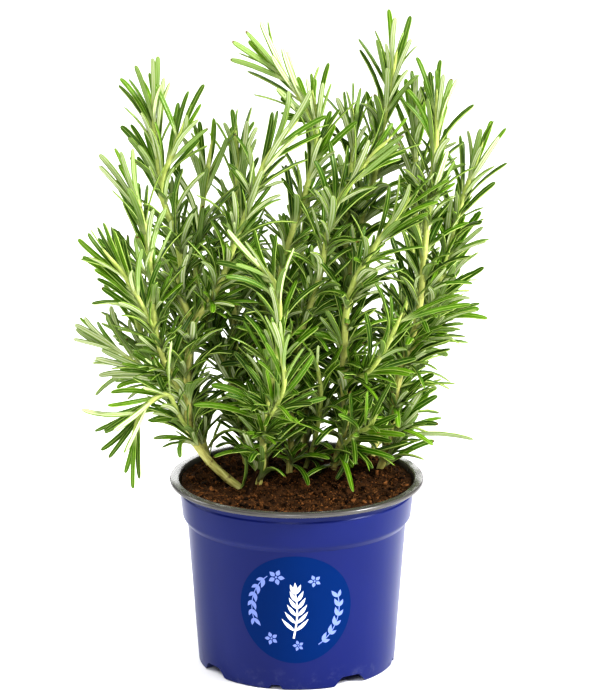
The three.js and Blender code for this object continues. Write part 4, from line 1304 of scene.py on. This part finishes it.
def blade_material():
    """A rosemary needle: glossy green above with a sunken midrib, and felted and pale below."""
    nodes = Nodes("needle_leaf")
    across, along, top = nodes.attribute("blade")
    chance, youth, shade = nodes.attribute("tone")
    mottle = nodes.noise(330, 3)
    out = nodes.math("ABSOLUTE", across)
    hue = nodes.math("MULTIPLY_ADD", mottle, 0.5, nodes.math("MULTIPLY_ADD", chance, 0.8, -0.15))
    green = nodes.ramp(hue, (0.0, (0.014, 0.048, 0.001)), (0.5, (0.043, 0.122, 0.001)),
                       (1.0, (0.125, 0.260, 0.004)))
    green = nodes.over(green, youth, 0.26, (0.180, 0.300, 0.012))
    # On the upper face the midrib groove and the rolled edges are lightened, the edges less on young
    # leaves: painted highlights.
    rib_highlight = nodes.step(out, 0.15, 0.03)
    edge = nodes.step(out, 0.74, 1.0)
    green = nodes.over(green, rib_highlight, 0.6, (0.450, 0.540, 0.150))
    green = nodes.over(green, edge, nodes.blend(youth, 0.85, 0.3), (0.560, 0.630, 0.220))
    felt = nodes.ramp(out, (0.0, (0.480, 0.570, 0.200)), (0.10, (0.340, 0.440, 0.110)),
                      (0.20, (0.720, 0.760, 0.540)), (0.60, (0.640, 0.690, 0.440)),
                      (0.80, (0.080, 0.180, 0.008)), (1.0, (0.250, 0.380, 0.045)))
    felt = nodes.over(felt, youth, 0.35, (0.240, 0.340, 0.070))
    grown = nodes.step(shade, 0.3, 0.85)
    felt = nodes.over(felt, grown, 0.75, (0.140, 0.250, 0.026))
    upper = nodes.step(top, 0.25, 0.6)
    colour = nodes.mix(upper, felt, green)
    base = nodes.step(along, 0.28, 0.0)
    colour = nodes.over(colour, base, 0.75, (0.600, 0.660, 0.330))
    end = nodes.step(along, 0.955, 0.99)
    dry = nodes.step(shade, 0.91, 0.95)
    colour = nodes.over(colour, end, dry, (0.120, 0.060, 0.018))
    gloss = nodes.math("MULTIPLY_ADD", mottle, 0.16, nodes.blend(upper, 0.6, 0.25))
    grain = nodes.math("ADD", nodes.noise(2300, 2), nodes.math("MULTIPLY", nodes.noise(700, 2), 1.6))
    return nodes.finish(colour, gloss, grain, strength=0.35, depth=0.12, Specular_IOR_Level=0.28)


def bark_material():
    """A stem: pale yellow-green near the tips, and tan bark with brown scars lower down."""
    nodes = Nodes("stem_bark")
    around, length, _ = nodes.attribute("blade")
    chance, youth, node = nodes.attribute("tone")
    on_bark = nodes.add("CombineXYZ", {0: around, 1: length, 2: chance}).outputs[0]
    streak = nodes.noise(14, 4, vector=on_bark)
    mottle = nodes.noise(420, 4, 0.6)
    fresh = nodes.ramp(mottle, (0.3, (0.400, 0.480, 0.110)), (0.7, (0.570, 0.630, 0.230)))
    old = nodes.ramp(streak, (0.3, (0.330, 0.300, 0.080)), (0.5, (0.540, 0.520, 0.180)),
                     (0.7, (0.680, 0.670, 0.300)))
    colour = nodes.mix(nodes.step(youth, 0.12, 0.55), old, fresh)
    scar = nodes.math("MULTIPLY", nodes.step(node, 0.45, 0.95), nodes.step(mottle, 0.42, 0.6))
    scar = nodes.math("MULTIPLY", scar, nodes.step(youth, 0.6, 0.1))
    colour = nodes.over(colour, scar, 0.8, (0.110, 0.060, 0.022))
    grain = nodes.math("ADD", streak, mottle)
    return nodes.finish(colour, nodes.blend(youth, 0.62, 0.42), grain, strength=0.5, depth=0.25,
                        Specular_IOR_Level=0.35)


def plastic_material(name, low, high, rough, gleam=0.3, scuff=0.1):
    """Moulded plastic with a faint orange peel, slight clouding and some scuffs."""
    nodes = Nodes(name)
    cloud = nodes.noise(22, 4, 0.6)
    fine = nodes.noise(1500, 2)
    height = nodes.add("SeparateXYZ", {0: nodes.place()}).outputs[2]
    scuffs = nodes.step(nodes.noise(160, 4, 0.7), 0.5, 0.7)
    worn = nodes.math("MULTIPLY", nodes.step(height, 14 * MM, 0), scuffs)
    colour = nodes.mix(cloud, low, high)
    colour = nodes.over(colour, worn, 0.35, tuple(0.7 * c + 0.12 for c in high))
    gloss = nodes.math("MULTIPLY_ADD", cloud, scuff, nodes.blend(worn, rough, rough + 0.2))
    peel = nodes.math("ADD", fine, nodes.math("MULTIPLY", nodes.noise(180, 2), 2.5))
    return nodes.finish(colour, gloss, peel, strength=0.08, depth=0.05, Specular_IOR_Level=gleam)


def soil_material(name, damp, dry, speck, by_tone=False):
    """Peat: dark and damp with lighter dry crumbs and orange-brown specks of bark."""
    nodes = Nodes(name)
    coarse, fine = nodes.noise(260, 5, 0.65), nodes.noise(1300, 3, 0.6)
    share = nodes.math("MULTIPLY_ADD", fine, 0.5, nodes.math("MULTIPLY", coarse, 0.6))
    if by_tone:
        share = nodes.math("MULTIPLY", share, 0.4)
        share = nodes.math("MULTIPLY_ADD", nodes.attribute("tone")[0], 0.7, share)
    colour = nodes.mix(nodes.step(share, 0.35, 0.8), damp, dry)
    flecks = nodes.step(nodes.noise(950, 2), 0.66, 0.72)
    colour = nodes.over(colour, flecks, 0.8, speck)
    return nodes.finish(colour, nodes.blend(fine, 0.8, 0.98), nodes.math("ADD", coarse, fine), strength=0.8,
                        depth=0.5, Specular_IOR_Level=0.15)


# ---------------------------------------------------------------------------------------------
# stage


def soft_light(name, place, size, power, target):
    light = bpy.data.lights.new(name, "AREA")
    light.shape, light.size, light.size_y = "RECTANGLE", size[0], size[1]
    light.energy = power
    lamp = bpy.data.objects.new(name, light)
    lamp.location = place
    lamp.rotation_euler = (Vector(target) - Vector(place)).to_track_quat("-Z", "Y").to_euler()
    bpy.context.scene.collection.objects.link(lamp)


def make_stage():
    """A pale floor, soft lights, and a camera that looks slightly down from the front."""
    nodes = Nodes("studio_floor")
    tint = nodes.mix(nodes.noise(3, 2), (0.93, 0.93, 0.93), (0.96, 0.96, 0.96))
    floor_material = nodes.finish(tint, 0.9)
    bpy.ops.mesh.primitive_grid_add(x_subdivisions=8, y_subdivisions=8, size=FLOOR_SIZE,
                                    location=(0, 0, -FLOOR_DROP))
    floor = bpy.context.object
    floor.name = "studio_floor"
    floor.data.materials.append(floor_material)

    world = bpy.data.worlds.new("studio")
    world.use_nodes = True
    background = world.node_tree.nodes["Background"]
    background.inputs["Color"].default_value = (1, 1, 1, 1)
    background.inputs["Strength"].default_value = WORLD_LIGHT
    bpy.context.scene.world = world
    for name, light in LIGHTS.items():
        soft_light(name, **light)

    lens = bpy.data.cameras.new("photo_camera")
    lens.lens, lens.sensor_width = CAMERA_LENS, SENSOR_WIDTH
    lens.clip_start, lens.clip_end = 0.1, 30
    camera = bpy.data.objects.new("photo_camera", lens)
    camera.location = CAMERA_PLACE
    camera.rotation_euler = (CAMERA_TILT * DEG, 0, 0)
    bpy.context.scene.collection.objects.link(camera)
    bpy.context.scene.camera = camera
    bpy.context.scene.view_settings.view_transform = "Standard"
    bpy.context.scene.view_settings.look = "High Contrast"


# ---------------------------------------------------------------------------------------------
# the potted plant

blue = plastic_material("pot_blue", (0.007, 0.014, 0.104), (0.010, 0.019, 0.132), 0.28, 0.22, 0.04)
grey = plastic_material("pot_grey", (0.056, 0.052, 0.050), (0.090, 0.085, 0.082), 0.22, 0.7, 0.04)
make_pot(blue, grey)
make_print(plastic_material("print_deep_blue", (0.000, 0.023, 0.118), (0.000, 0.027, 0.132), 0.3, 0.07),
           plastic_material("print_pale_blue", (0.190, 0.250, 0.560), (0.210, 0.275, 0.590), 0.3),
           plastic_material("print_white", (0.840, 0.840, 0.860), (0.880, 0.880, 0.900), 0.3))
make_soil(soil_material("peat", (0.009, 0.004, 0.002), (0.096, 0.044, 0.015), (0.380, 0.160, 0.045)))
make_crumbs(soil_material("peat_crumb", (0.010, 0.004, 0.001), (0.150, 0.068, 0.024),
                          (0.420, 0.190, 0.060), by_tone=True))
make_fibres(soil_material("fibre", (0.030, 0.014, 0.006), (0.170, 0.085, 0.034),
                          (0.260, 0.150, 0.070), by_tone=True))
make_plant(bark_material(), blade_material())
make_stage()
